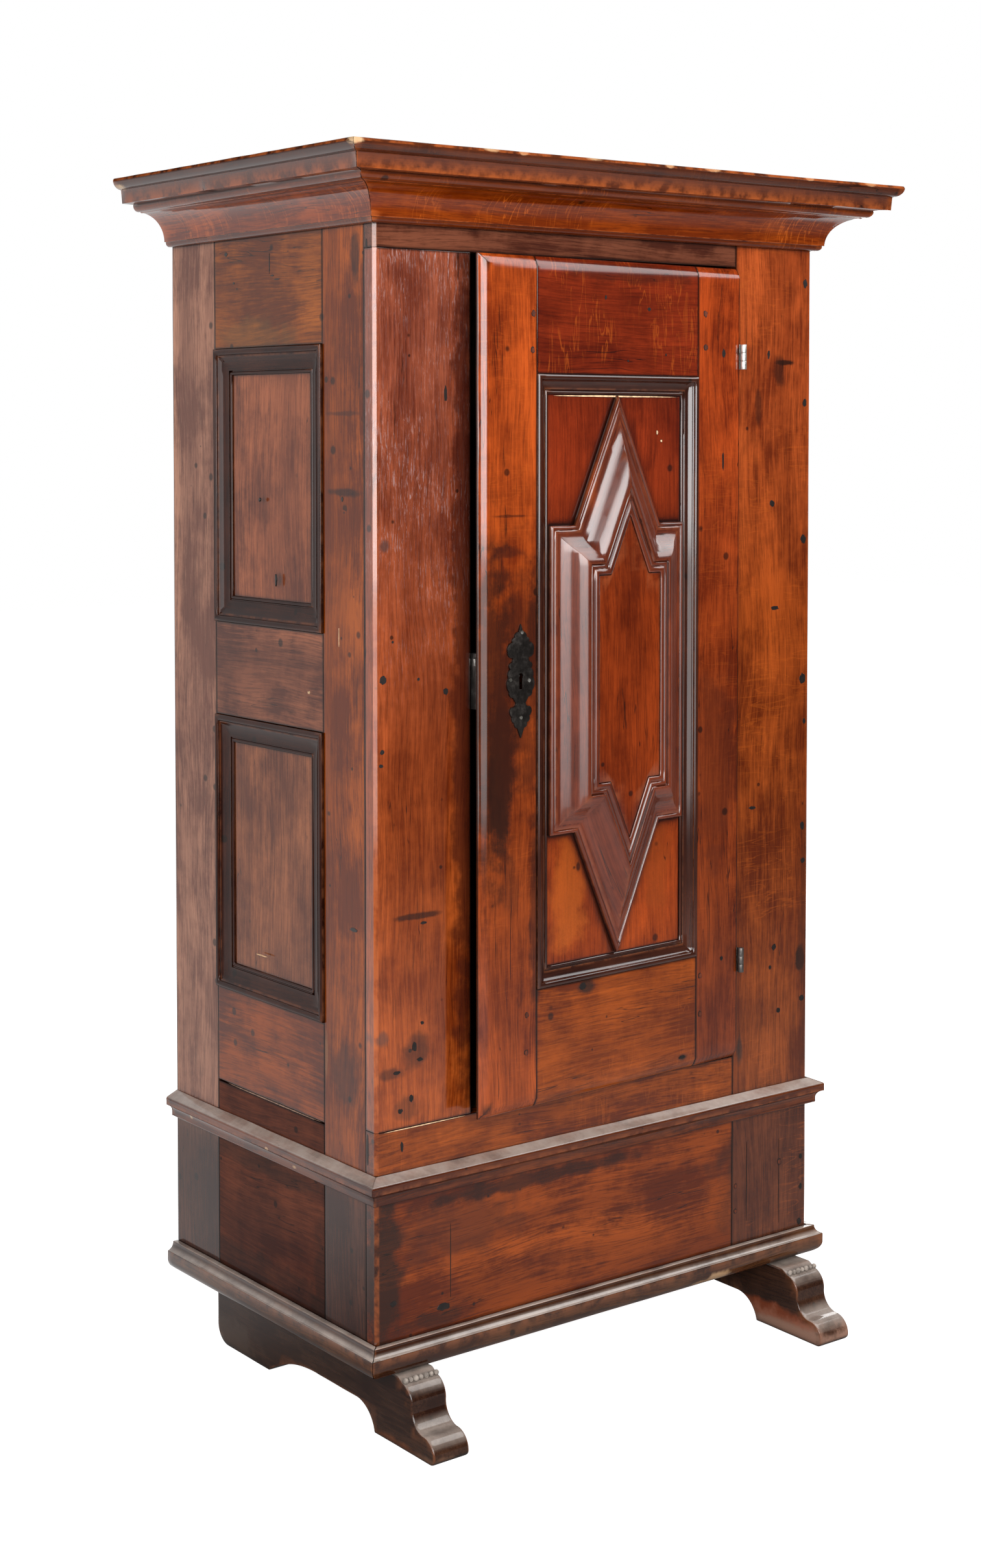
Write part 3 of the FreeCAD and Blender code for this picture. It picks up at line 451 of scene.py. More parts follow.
def stains_and_shade_on(place, *rows):
    """Stains and patches of painted shade from rows of across, height, half width and half height in millimetres,
    colour and share.
    """
    stains_and_shade = []
    for across, height, wide, high, tint, share in rows:
        size = [wide / MM_PER_M, STAIN_DEPTH, high / MM_PER_M]
        if place is side_place:
            size = [STAIN_DEPTH, wide / MM_PER_M, high / MM_PER_M]
        stains_and_shade.append((place(across, height), size, tint, share))
    return stains_and_shade


print("case front at", round(CASE_FRONT, 4), "left side at", round(CASE_LEFT, 4))

# %% [markdown]
# ## The finishes
# The case is one timber seen under very uneven varnish: near-black on the mouldings, wine red on
# the left stile, orange where the light has reached the wood, dull brown on the side. Here only
# the gloss, the dust, the larger stains and a few patches of painted shade are set; the colours
# follow board by board. Iron from the lock, the hinges and the nails has stained the oak around it
# black.

# %% Front and side finishes
# The left stile's last stain, a dark strip along its edge beside the door gap, is painted shade.
wine_wood = old_wood("wine red stile", gloss=0.9, contrast=1.5, crackle=0.65, stains_and_shade=stains_and_shade_on(
    front_place, (-371, 578, 34, 34, "#24120C", 0.6), (-413, 552, 30, 12, "#1E100B", 0.6),
    (-385, 498, 28, 22, "#2A150D", 0.5), (-431, 606, 16, 18, "#33302E", 0.6),
    (-368, 780, 50, 6, "#26110A", 0.8), (-424, 1327, 12, 12, "#3B302F", 0.7),
    (-280, 1120, 30, 900, "#35130D", 0.75)))
front_wood = old_wood("front boards", gloss=0.75, contrast=1.8, flecks=0.2, stains_and_shade=stains_and_shade_on(
    front_place, (384, 1608, 30, 6, "#1A0D08", 0.9), (368, 1590, 18, 36, "#2A120A", 0.7),
    (321, 1531, 9, 34, "#24100A", 0.6), (424, 612, 14, 28, "#1C0F0A", 0.9),
    (286, 478, 10, 30, "#27211D", 0.7), (436, 650, 20, 260, "#34160C", 0.5)))
frieze_wood = old_wood("frieze", gloss=0.7, contrast=3.0)
# The plinth board's long thin band at 345 mm, just under the middle ledge, is a painted shadow of the ledge.
plinth_wood = old_wood("plinth boards", gloss=0.6, contrast=2.9, stains_and_shade=stains_and_shade_on(
    front_place, (340, 260, 130, 140, "#3A1C10", 0.6), (-300, 300, 160, 60, "#3E1C10", 0.5),
    (-426, 250, 40, 160, "#20120C", 0.8), (-156, 345, 300, 16, "#220F0A", 0.75),
    (-340, 168, 90, 16, "#20110B", 0.6), (405, 180, 60, 60, "#1E110D", 0.7)))
side_wood = old_wood("side boards", gloss=0.5, contrast=2.3, stains_and_shade=stains_and_shade_on(
    side_place, (-146, 1405, 56, 8, "#2A130D", 0.8), (-144, 1521, 56, 5, "#36180F", 0.6),
    (-177, 1750, 14, 50, "#231310", 0.7), (-150, 540, 50, 62, "#331512", 0.6),
    (-95, 554, 6, 40, "#8A5A38", 0.6), (100, 1640, 130, 40, "#5A4524", 0.35)))
side_panel_wood = old_wood("side panels", gloss=0.5, contrast=1.8, halo_shade=0.8)
# Its band at 345 mm, just under the middle ledge, is a painted shadow of the ledge.
side_plinth_wood = old_wood("side plinth", gloss=0.15, contrast=1.8, stains_and_shade=stains_and_shade_on(
    side_place, (80, 165, 330, 45, "#1E1512", 0.45), (80, 345, 260, 22, "#241A14", 0.4),
    (-80, 200, 30, 120, "#1A110E", 0.5)))
dull_wood = old_wood("dark side mouldings", gloss=0.35, contrast=1.8, relief=0.5, crevice_shade=0.6)
inner_wood = old_wood("bare inner boards", gloss=0.1, worn=0.1, crevice_shade=0.6, dust=0.2)
print("materials so far:", len(bpy.data.materials))

# %% Door finishes
door_wood = old_wood("door boards", gloss=0.75, contrast=1.8, flecks=0.12, stains_and_shade=stains_and_shade_on(
    door_place, (-519, 985, 36, 150, "#17100E", 0.6), (-500, 820, 24, 60, "#1E120E", 0.3),
    (-454, 1180, 16, 110, "#220E09", 0.75), (-535, 1080, 60, 330, "#1F100B", 0.75),
    (-480, 1120, 80, 240, "#34140B", 0.65), (-450, 760, 14, 200, "#2A130C", 0.6),
    (-60, 960, 80, 200, "#4A1E10", 0.5), (-502, 1315, 42, 12, "#33120B", 0.6),
    (-502, 1369, 50, 3, "#2A0F09", 0.6), (-344, 641, 22, 14, "#23150E", 0.8),
    (-130, 492, 16, 7, "#26140D", 0.7)))
flamed_wood = old_wood("door top rail", gloss=0.75, contrast=1.4, flecks=0.4, stains_and_shade=stains_and_shade_on(
    door_place, (-250, 1738, 180, 20, "#2E110A", 0.5)))
panel_wood = old_wood("panels", gloss=0.75, contrast=1.4, halo_shade=1.0, stains_and_shade=stains_and_shade_on(
    panel_place, (-372, 780, 50, 120, "#B4581A", 0.55), (-180, 800, 40, 100, "#8E3E12", 0.5),
    (-350, 825, 6, 11, "#2A130B", 0.9)))
dark_wood = old_wood("dark mouldings", gloss=0.85, contrast=1.4, relief=0.5, crevice_shade=0.6)
star_wood = old_wood("star moulding", gloss=1.0, polish=0.19, contrast=1.3, worn=0.35, relief=0.4, marks=0.4,
                     stains_and_shade=[(on_door(-0.332, -0.010, 1.440), (0.016, 0.05, 0.080), "#8A3A12", 0.5)])
print("materials so far:", len(bpy.data.materials))

# %% Cornice, ledge and foot finishes
RAW_OAK, DULL_OAK = "#D8B48A", "#C49A70"
TOP_EDGE = (-0.334, 1.899)
CORNICE_CHIPS = [((-0.548, -0.333, 1.896), (0.016, 0.016, 0.008), RAW_OAK, 0.9),
                 ((-0.549, 0.340, 1.884), (0.020, 0.020, 0.007), RAW_OAK, 0.9)]
for x, wide in ((-310, 20), (-250, 12), (-120, 18), (30, 10), (120, 22), (330, 12), (470, 20)):
    CORNICE_CHIPS.append(((x / MM_PER_M, *TOP_EDGE), (wide / MM_PER_M, 0.012, 0.005), DULL_OAK, 0.85))
cornice_wood = old_wood(
    "cornice", gloss=0.8, contrast=3.0, flecks=0.5, worn=0.6, dust=0.25, stains_and_shade=CORNICE_CHIPS,
    bands=[(1.8585, 1.8815, 0.001, "#4A2212", 0.85), (1.8815, 1.95, 0.001, "#2E1A14", 0.85),
           (1.790, 1.803, 0.001, "#2A140C", 0.5), (1.846, 1.8585, 0.001, "#4A2412", 0.5)])
mid_ledge_wood = old_wood("middle ledge", gloss=0.75, contrast=2.6, worn=0.6, dust=1.0, stains_and_shade=[
    ((-0.464, 0.289, 0.376), (0.030, 0.007, 0.005), RAW_OAK, 0.9),
    ((-0.464, -0.021, 0.370), (0.030, 0.008, 0.004), DULL_OAK, 0.9),
    ((-0.464, 0.043, 0.384), (0.030, 0.006, 0.004), DULL_OAK, 0.8)])
base_ledge_wood = old_wood(
    "bottom ledge", gloss=0.8, contrast=2.8, dust=1.0, bands=[(0.100, 0.1115, 0.002, "#A0522A", 0.45)],
    stains_and_shade=[((0.225, -0.246, 0.116), (0.030, 0.05, 0.011), "#B08C68", 0.9),
            ((0.190, -0.246, 0.112), (0.030, 0.05, 0.006), "#9A7450", 0.8)])
foot_wood = old_wood("feet", gloss=0.5, contrast=1.9, dust=0.8, stains_and_shade=[
    ((0.370, -0.240, 0.000), (0.200, 0.240, 0.040), "#9A7462", 0.85),
    ((0.360, -0.230, 0.030), (0.120, 0.120, 0.016), "#8A3E1C", 0.6),
    ((-0.420, -0.320, 0.000), (0.060, 0.060, 0.012), "#6E5240", 0.7),
    ((-0.420, -0.180, 0.000), (0.060, 0.200, 0.014), "#7A4426", 0.6),
    ((-0.420, 0.250, 0.020), (0.060, 0.120, 0.040), "#4A3A30", 0.6)])
print("materials so far:", len(bpy.data.materials))

# %% [markdown]
# ## Iron and steel
# The plate around the keyhole is black iron, beaten thin and filed. The lock's case and the lower
# hinge are rougher. The upper hinge shows bright where it has rubbed, and so does the bolt. One
# function mixes a dark and a bright tone where the metal is rubbed, and a fine bump shows hammering.


# %% Iron and steel
def old_metal(name, bright, dark, shine, wear):
    """Forged metal: dark in the hollows, rubbed bright where it stands out."""
    material, g = new_material(name)
    place = g.add("ShaderNodeTexCoord").outputs["Object"]
    edge = g.attribute("edge")
    rust = g.noise(place, 90.0, 5.0, 0.65)
    rubbed = g.times(g.math("ADD", edge, g.ramp(rust, 0.5, 0.75)), wear, True)
    body = g.mix(rubbed, colour(dark), colour(bright))
    beaten = g.noise(place, 160.0, 3.0, 0.5)
    bump = g.add("ShaderNodeBump", {"Height": beaten, "Strength": 0.5, "Distance": 0.0006})
    rough = g.ramp(rust, 0.3, 0.7, shine, shine + 0.22)
    skin = g.add("ShaderNodeBsdfPrincipled", {
        "Base Color": body, "Metallic": 0.9, "Roughness": rough, "Normal": bump.outputs[0]})
    g.add("ShaderNodeOutputMaterial", {"Surface": skin.outputs[0]})
    return material


black_iron = old_metal("black iron", "#5E5854", "#15110F", 0.24, 0.35)
iron = old_metal("dark forged iron", "#7A7470", "#1E1A18", 0.30, 0.7)
steel = old_metal("worn steel", "#D8D6D0", "#8A867E", 0.25, 0.9)
print("materials so far:", len(bpy.data.materials))

# %% [markdown]
# ## From a crisp solid to a worn board
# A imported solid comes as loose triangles. A copy of it is merged into flat faces, its outward
# corners are bevelled, and the result is cut across every few centimetres, so that there are
# points to move. Then noise pushes the points in a little: a planed board is never quite flat,
# and a corner loses chips. The grain attribute is worked out last, from the direction that each
# face was given while it was still one large face.


# %% Merge, bevel and slice
SAME_POINT, ON_PLANE = 0.00002, 0.00001
FLAT_ANGLE, CORNER_ANGLE = math.radians(1.2), math.radians(28.0)
PLANED, ROUNDED = 2, 1
SECOND_RIM = 1.8


def merged_copy(node):
    work = bmesh.new()
    work.from_mesh(frame["nodes"][node].data)
    bmesh.ops.remove_doubles(work, verts=work.verts, dist=SAME_POINT)
    bmesh.ops.dissolve_limit(work, angle_limit=FLAT_ANGLE, verts=work.verts, edges=work.edges,
                             use_dissolve_boundaries=False)
    return work


def outward_corners(work, rounded):
    """Edges between two unbevelled faces that meet in an outward corner."""
    corners = [edge for edge in work.edges if len(edge.link_faces) == 2 and edge.is_convex]
    corners = [edge for edge in corners if not any(face[rounded] for face in edge.link_faces)]
    return [edge for edge in corners if edge.calc_face_angle() > CORNER_ANGLE]


def bevel_corners(work, width, width_at=None):
    """Planes a flat where width_at(edge middle) gives a width, then rounds the other corners."""
    rounded = work.faces.layers.int.new("rounded")

    def bevel(edges, offset, steps, mark):
        made = bmesh.ops.bevel(work, geom=edges, offset=offset, offset_type="OFFSET", segments=steps,
                               profile=0.5, affect="EDGES", clamp_overlap=True)
        for face in made["faces"]:
            face[rounded] = mark

    planed = {}
    for edge in outward_corners(work, rounded) if width_at else []:
        planed.setdefault(width_at((edge.verts[0].co + edge.verts[1].co) / 2), []).append(edge)
    planed.pop(None, None)
    for offset, edges in planed.items():
        bevel(edges, offset, 1, PLANED)
    bevel(outward_corners(work, rounded), width, 2, ROUNDED)
    return rounded


def slice_along(work, axis, step, rim=0.0, wander=0.0, seed=0):
    """Cuts the mesh across an axis every step, and close to both ends where rim is given."""
    reach = [vertex.co.dot(axis) for vertex in work.verts]
    low, high = min(reach), max(reach)
    chance = random.Random(seed)
    count = max(1, round((high - low) / step))
    places = [low + (high - low) * i / count + chance.uniform(-wander, wander) for i in range(1, count)]
    if rim:
        places += [low + rim, high - rim, low + rim * SECOND_RIM, high - rim * SECOND_RIM]
    for place in places:
        geometry = work.verts[:] + work.edges[:] + work.faces[:]
        bmesh.ops.bisect_plane(work, geom=geometry, dist=ON_PLANE, plane_co=axis * place, plane_no=axis)


# %% [markdown]
# ## Wear, grain and shade
# A bevelled corner that faces another board is a joint, so it is marked dark instead of rubbed.
# Chips bite only into rounded corners, never into the planed flat. Every board gets its own shift
# of the grain pattern, and so does every direction on it, so that no two look cut from one sheet.

# %% Weathering
WAVE_SCALE, CHIP_SCALE, FINE_CHIP_SCALE, RUB_SCALE = 7.0, 46.0, 130.0, 21.0
RUB_SHARE = 0.12


def weather(work, rounded, seed, wave, chip, chip_share, jointed):
    """Pushes points in: slow waves everywhere, chips along the rounded corners."""
    edge_layer = work.verts.layers.float.new("edge")
    joint_layer = work.verts.layers.float.new("joint")
    offset = Vector((seed * 3.1, seed * 1.7, seed * 2.3))
    work.normal_update()
    moves = []
    for vertex in work.verts:
        on_edge = max(face[rounded] for face in vertex.link_faces)
        dark = jointed and on_edge == ROUNDED
        vertex[joint_layer] = 1.0 if dark else 0.0
        vertex[edge_layer] = 1.0 if on_edge and not dark else 0.0
        place = vertex.co
        push = wave * (0.5 + 0.5 * noise.noise(place * WAVE_SCALE + offset))
        if on_edge == ROUNDED:
            bite = 0.6 * noise.noise(place * CHIP_SCALE + offset)
            bite += 0.4 * noise.noise(place * FINE_CHIP_SCALE + offset)
            push += chip * max(0.0, bite - (1.0 - chip_share)) / chip_share
            push += chip * RUB_SHARE * (1.0 + noise.noise(place * RUB_SCALE - offset))
        moves.append(vertex.normal * -push)
    for vertex, move in zip(work.verts, moves):
        vertex.co += move


# %% Grain and shade of a mesh
ONE_WAY = Vector((1.0, 0.31, 0.57))
GRAIN_SHIFT = 4


def flow_of_faces(work, along):
    """A direction for every face: the given one, or that of the face's longest side."""
    layer = work.faces.layers.float_vector.new("flow")
    for face in work.faces:
        if along is not None:
            face[layer] = along
            continue
        side = max(face.edges, key=lambda edge: edge.calc_length())
        direction = (side.verts[1].co - side.verts[0].co).normalized()
        if direction.dot(ONE_WAY) < 0:
            direction = -direction
        face[layer] = direction


def shade_of_points(mesh, shade):
    """One colour for all points, or colours at heights in metres with blends between them."""
    count = len(mesh.vertices)
    if isinstance(shade, str):
        return np.tile(np.array(colour(shade), np.float32), (count, 1))
    heights = np.array([vertex.co.z for vertex in mesh.vertices])
    tones = np.array([colour(code) for _, code in shade])
    blend = [np.interp(heights, [height for height, _ in shade], tones[:, i]) for i in range(4)]
    return np.stack(blend, 1).astype(np.float32)


def numbers(data, name, width, kind=np.float32):
    """One property of all the items in a list of Blender's, as rows of the given width."""
    values = np.zeros(len(data) * width, kind)
    data.foreach_get(name, values)
    return values.reshape(-1, width)


def grain_of_corners(mesh, outward, seed):
    """How far along, across and deep every corner of a face lies in its own board."""
    corners = numbers(mesh.loops, "vertex_index", 1, np.int32)[:, 0]
    points = numbers(mesh.vertices, "co", 3)[corners]
    sides = numbers(mesh.polygons, "loop_total", 1, np.int32)[:, 0]
    flow = np.repeat(numbers(mesh.attributes["flow"].data, "vector", 3), sides, axis=0)
    deep = np.array(outward, np.float32)
    wide = np.cross(flow, deep)
    length = np.linalg.norm(wide, axis=1, keepdims=True)
    wide = np.where(length < 0.2, np.array((0.0, 0.0, 1.0)), wide / np.maximum(length, 1e-6))
    chance = random.Random(seed)
    shift = np.array([chance.uniform(-GRAIN_SHIFT, GRAIN_SHIFT) for _ in range(3)])
    arm = flow @ np.array((0.9, 1.7, 1.3))
    grain = np.stack([(points * flow).sum(1), (points * wide).sum(1), points @ deep], 1)
    grain = grain + shift + np.stack([arm, arm * 0.7, arm * 0.4], 1)
    return grain.astype(np.float32)


# %% Finishing a mesh
SMOOTH_BELOW, SMOOTH_BELOW_CRISP = 38, 15


def finish_mesh(work, node, material, outward, shade, seed, crisp):
    """Turns the working mesh into an object with its grain and shade attributes."""
    mesh = bpy.data.meshes.new("worn_" + node)
    work.to_mesh(mesh)
    work.free()
    grain = grain_of_corners(mesh, outward, seed)
    mesh.attributes.new("grain", "FLOAT_VECTOR", "CORNER").data.foreach_set("vector", grain.ravel())
    tones = shade_of_points(mesh, shade)
    mesh.attributes.new("shade", "FLOAT_COLOR", "POINT").data.foreach_set("color", tones.ravel())
    for spent in ("flow", "rounded"):
        mesh.attributes.remove(mesh.attributes[spent])
    mesh.materials.append(material)
    mesh.polygons.foreach_set("use_smooth", [True] * len(mesh.polygons))
    mesh.set_sharp_from_angle(angle=math.radians(SMOOTH_BELOW_CRISP if crisp else SMOOTH_BELOW))
    piece = bpy.data.objects.new("worn_" + node, mesh)
    scene.collection.objects.link(piece)
    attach(piece, body_of[node])
    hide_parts(node)
    return piece


# %% Dress one piece
pieces = {}
WANDER_SHARE = 0.2
SLICED_FROM = 1.5
RIM_STEPS = 9


def dress(node, material, along, outward, shade="#5A3A28", bevel=0.0007, width_at=None, step=0.03,
          wave=0.0005, chip=0.0012, chip_share=0.5, rim=0.004, jointed=False, axes=(RIGHT, BACK, UP)):
    """A worn copy of a node that stands for it. along is None for a moulding that turns corners."""
    seed = sum(ord(letter) for letter in node)
    work = merged_copy(node)
    flow_of_faces(work, along)
    rounded = bevel_corners(work, bevel, width_at)
    for axis in axes:
        reach = [vertex.co.dot(axis) for vertex in work.verts]
        if max(reach) - min(reach) > step * SLICED_FROM:
            slice_along(work, axis, step, rim, step * WANDER_SHARE, seed)
        elif jointed:
            slice_along(work, axis, step * RIM_STEPS, rim)
    weather(work, rounded, seed, wave, chip, chip_share, jointed)
    pieces[node] = finish_mesh(work, node, material, outward, shade, seed, jointed)


# %% [markdown]
# ## The front frame
# Five boards make the front: two stiles, the frieze rail above the door, the rail below it and
# the plinth board. The outer corner of the left stile has been planed to a narrow flat that
# catches the light, so its bevel is several times wider than the others. The web codes are the
# boards' own colours in plain light, except that the left stile's paler tone high up also paints
# the sheen of its crackled varnish. Tall boards have several, each at a height.

# %% Front boards
FLAT_WIDTH = 0.0045
NEAR = 0.001


def corner_flat(middle):
    """Wide bevel for the case's two front corners, none special elsewhere."""
    near_side = abs(abs(middle.x) - abs(CASE_LEFT)) < NEAR
    return FLAT_WIDTH if near_side and abs(middle.y - CASE_FRONT) < NEAR else None


FRONT_BOARDS = {
    # The left stile's paler tone at 1.6 m is partly painted sheen of its crackled varnish.
    "front_left_stile": (wine_wood, UP, ((0.6, "#9A481A"), (1.0, "#843A18"), (1.6, "#8A4630"))),
    "front_right_stile": (front_wood, UP, (
        (0.34, "#5E2E18"), (0.42, "#783814"), (1.2, "#803610"), (1.6, "#94401A"))),
    "frieze_rail": (frieze_wood, RIGHT, "#673928"),
    "lower_front_rail": (front_wood, RIGHT, "#80390B"),
    "plinth_front_board": (plinth_wood, RIGHT, "#7A340B")}
for name, (material, along, shade) in FRONT_BOARDS.items():
    dress(name, material, along, -BACK, shade, width_at=corner_flat, jointed=True)
print("front:", *FRONT_BOARDS)

# %% [markdown]
# ## The sides
# Each side is a frame of two stiles and three rails around two sunk panels, with the plinth board
# below. Sun and dry air have greyed the rear stile of the left side, and the stiles turn almost
# black where they pass behind the ledge. The right side is not in the photograph, so it gets
# quieter colours of the same family. Upright boards have upright grain.

# %% Side boards
PLINTH_END, PLINTH_DARK = 0.34, 0.41
LEFT_COLOURS = {"side_rear_stile": "#A26F5A", "side_front_stile": "#90430E", "top_rail": "#8D470B",
                "mid_rail": "#7A442E", "bottom_rail": "#843A0B", "plinth_board": "#5A2A18",
                "upper_panel": "#8D4C30", "lower_panel": "#894E31"}
RIGHT_COLOURS = {"side_rear_stile": "#85452A", "side_front_stile": "#85401C", "top_rail": "#80421E",
                 "mid_rail": "#784026", "bottom_rail": "#7C3C1A", "plinth_board": "#5A2A18",
                 "upper_panel": "#80402A", "lower_panel": "#7C4028"}
DARK_MOULDING = "#38190F"
for side, out, shades in (("left", -RIGHT, LEFT_COLOURS), ("right", RIGHT, RIGHT_COLOURS)):
    for name, shade in shades.items():
        upright = "stile" in name or "panel" in name
        material = side_panel_wood if "panel" in name else side_plinth_wood if "plinth" in name else side_wood
        if "stile" in name:
            shade = ((PLINTH_END, "#4A281C"), (PLINTH_DARK, shade))
        dress(side + "_" + name, material, UP if upright else BACK, out, shade, jointed=True)
    for level in ("upper", "lower"):
        dress(side + "_" + level + "_moulding", dull_wood, None, out, DARK_MOULDING, bevel=0.0005,
              step=0.02, chip=0.001, rim=0)
print("boards of one side:", *LEFT_COLOURS)

# %% [markdown]
# ## Cornice and ledges
# Three runs of moulding go round the front and both sides. They take every knock, so they get
# larger chips than the boards, and they are sliced along their length only, to keep the profile
# sharp. Their finishes tell the profile's steps apart by height.

# %% Cornice and ledges
LEDGES = {"cornice": (cornice_wood, "#98410B"), "mid_moulding": (mid_ledge_wood, "#5A270B"),
          "base_moulding": (base_ledge_wood, "#4B2C19")}
for name, (material, shade) in LEDGES.items():
    for part, along, out in (("front", RIGHT, -BACK), ("left", BACK, -RIGHT), ("right", BACK, RIGHT)):
        dress(name + "_" + part, material, along, out, shade, bevel=0.0012, step=0.016, chip=0.003,
              chip_share=0.45, rim=0, axes=(along,))
print("runs of moulding:", *LEDGES)

# %% [markdown]
# ## The feet
# Two sled feet run from front to back under the case. They stand on damp floors and meet brooms
# and shoes, so their edges are rounder and their chips larger than anywhere else, and the soles
# have lost their varnish.

# %% Feet
for side, out in (("left", -RIGHT), ("right", RIGHT)):
    dress(side + "_foot", foot_wood, BACK, out, "#3A2318", bevel=0.002, step=0.02, chip=0.003, wave=0.0008)
    print(side, "foot:", len(pieces[side + "_foot"].data.polygons), "faces")

# %% [markdown]
# ## The door and its star
# The door is framed like a side, and a moulding that draws a pointed star stands on its panel. It
# hangs ajar, so all its directions are the door's own. The grain of the two mouldings follows the
# longest side of each face, because they turn at every corner.

# %% Door
DOOR_BOARDS = {
    "door_lock_stile": (door_wood, UP, ((0.5, "#883A12"), (0.9, "#803612"), (1.3, "#963E12"),
                                        (1.6, "#A44416"))),
    "door_hinge_stile": (door_wood, UP, ((0.6, "#743010"), (1.1, "#823412"), (1.6, "#983A12"))),
    "door_top_rail": (flamed_wood, DOOR_RIGHT, "#70220B"),
    "door_bottom_rail": (door_wood, DOOR_RIGHT, "#893D0B")}
for name, (material, along, shade) in DOOR_BOARDS.items():
    dress(name, material, along, -DOOR_BACK, shade, axes=(DOOR_RIGHT, DOOR_BACK, UP), jointed=True)
DOOR_PANELS = {"door_panel": ((0.7, "#963C10"), (1.1, "#86300E"), (1.5, "#7C280E")), "star_field": "#762B0C"}
for name, shade in DOOR_PANELS.items():
    dress(name, panel_wood, UP, -DOOR_BACK, shade, axes=(DOOR_RIGHT, UP))
DOOR_MOULDINGS = {"door_panel_moulding": (dark_wood, DARK_MOULDING), "star_moulding": (star_wood, "#602714")}
for name, (material, shade) in DOOR_MOULDINGS.items():
    dress(name, material, None, -DOOR_BACK, shade, bevel=0.0005, step=0.02, rim=0, axes=(DOOR_RIGHT, UP))
print("door:", *DOOR_BOARDS, *DOOR_PANELS, *DOOR_MOULDINGS)

# %% [markdown]
# ## Inside and back
# Nobody varnished what is out of sight. The floor, the shelf and its bearers, the back and the top
# are bare oak that has turned greyish brown, all in one colour.

# %% Inside and back
BARE_OAK = "#6E5238"
for name in ("top_board", "base_board", "floor_board", "shelf"):
    dress(name, inner_wood, RIGHT, UP, BARE_OAK)
for name in ("back_board_left", "back_board_right"):
    dress(name, inner_wood, UP, BACK, BARE_OAK)
for name in ("left_shelf_bearer", "right_shelf_bearer"):
    dress(name, inner_wood, BACK, UP, BARE_OAK)
print("boards dressed so far:", len(pieces))

# %% [markdown]
# ## Lock and hinges
# Metal does not wave or chip like wood. It only gets a very fine bevel, whose edges the finish
# then rubs bright.

# %% Metal pieces
METALS = {"key_plate": black_iron, "lock_case": iron, "lower_hinge_case_leaf": iron,
          "lower_hinge_door_leaf": iron, "upper_hinge_case_leaf": steel, "upper_hinge_door_leaf": steel,
          "lock_bolt": steel}
for name, metal in METALS.items():
    dress(name, metal, UP, -BACK, bevel=0.0004, step=1.0, wave=0.0, chip=0.0, rim=0)
print("dressed", len(pieces), "faces", sum(len(p.data.polygons) for p in pieces.values()))

# %% [markdown]
# ## Knots, pegs and nails
# Small marks are pieces of their own: thin closed patches with an uneven outline, sunk into the
# wood and barely proud of it. A peg is a dark ring with a plug of end grain in it, a knot is one
# dark patch. Each list gives the place on its face and the size, in millimetres.


# %% Patches on a face
PATCH_CORNERS = 14
PATCH_SINK = 0.002
CROWN_SHARE = 0.86


def patch(work, centre, out, up, half_width, half_height, lift, ragged, chance):
    """Adds one closed patch with an uneven outline to the working mesh."""
    across = up.cross(out).normalized()
    foot, crown = [], []
    for index in range(PATCH_CORNERS):
        angle = 2 * math.pi * index / PATCH_CORNERS
        reach = 1 + chance.uniform(-ragged, ragged)
        flat = (across * math.cos(angle) * half_width + up * math.sin(angle) * half_height) * reach
        foot.append(work.verts.new(centre + flat - out * PATCH_SINK))
        crown.append(work.verts.new(centre + flat * CROWN_SHARE + out * lift))
    work.faces.new(crown)
    work.faces.new(foot[::-1])
    for index in range(PATCH_CORNERS):
        after = (index + 1) % PATCH_CORNERS
        work.faces.new((foot[index], foot[after], crown[after], crown[index]))


def plain_material(name, tint, rough):
    """One colour, a little uneven."""
    material, g = new_material(name)
    cloud = g.noise(g.add("ShaderNodeTexCoord").outputs["Object"], 120.0, 4.0, 0.6)
    body = g.mix(g.ramp(cloud, 0.35, 0.65), colour(tint, 0.6), colour(tint, 1.3))
    skin = g.add("ShaderNodeBsdfPrincipled", {"Base Color": body, "Roughness": rough})
    g.add("ShaderNodeOutputMaterial", {"Surface": skin.outputs[0]})
    return material


FACES = {"front": ("case", "front_oak", -BACK, front_place), "side": ("case", "side_oak", -RIGHT, side_place),
         "door": ("door", "door_oak", -DOOR_BACK, door_place),
         "panel": ("door", "panel_oak", -DOOR_BACK, panel_place)}


def patches(name, face, material, table, lift=0.0002, ragged=0.18, shrink=1.0):
    """One piece on a face from a table of across, height, half width and half height."""
    body, slot, out, place = FACES[face]
    work = bmesh.new()
    chance = random.Random(len(name) * 7)
    for across, height, half_width, half_height in table:
        patch(work, place(across, height), out, UP, half_width * shrink / MM_PER_M,
              half_height * shrink / MM_PER_M, lift, ragged, chance)
    bmesh.ops.recalc_face_normals(work, faces=work.faces)
    mesh = bpy.data.meshes.new(name)
    work.to_mesh(mesh)
    work.free()
    mesh.materials.append(material)
    piece = bpy.data.objects.new(name, mesh)
    scene.collection.objects.link(piece)
    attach(piece, body)


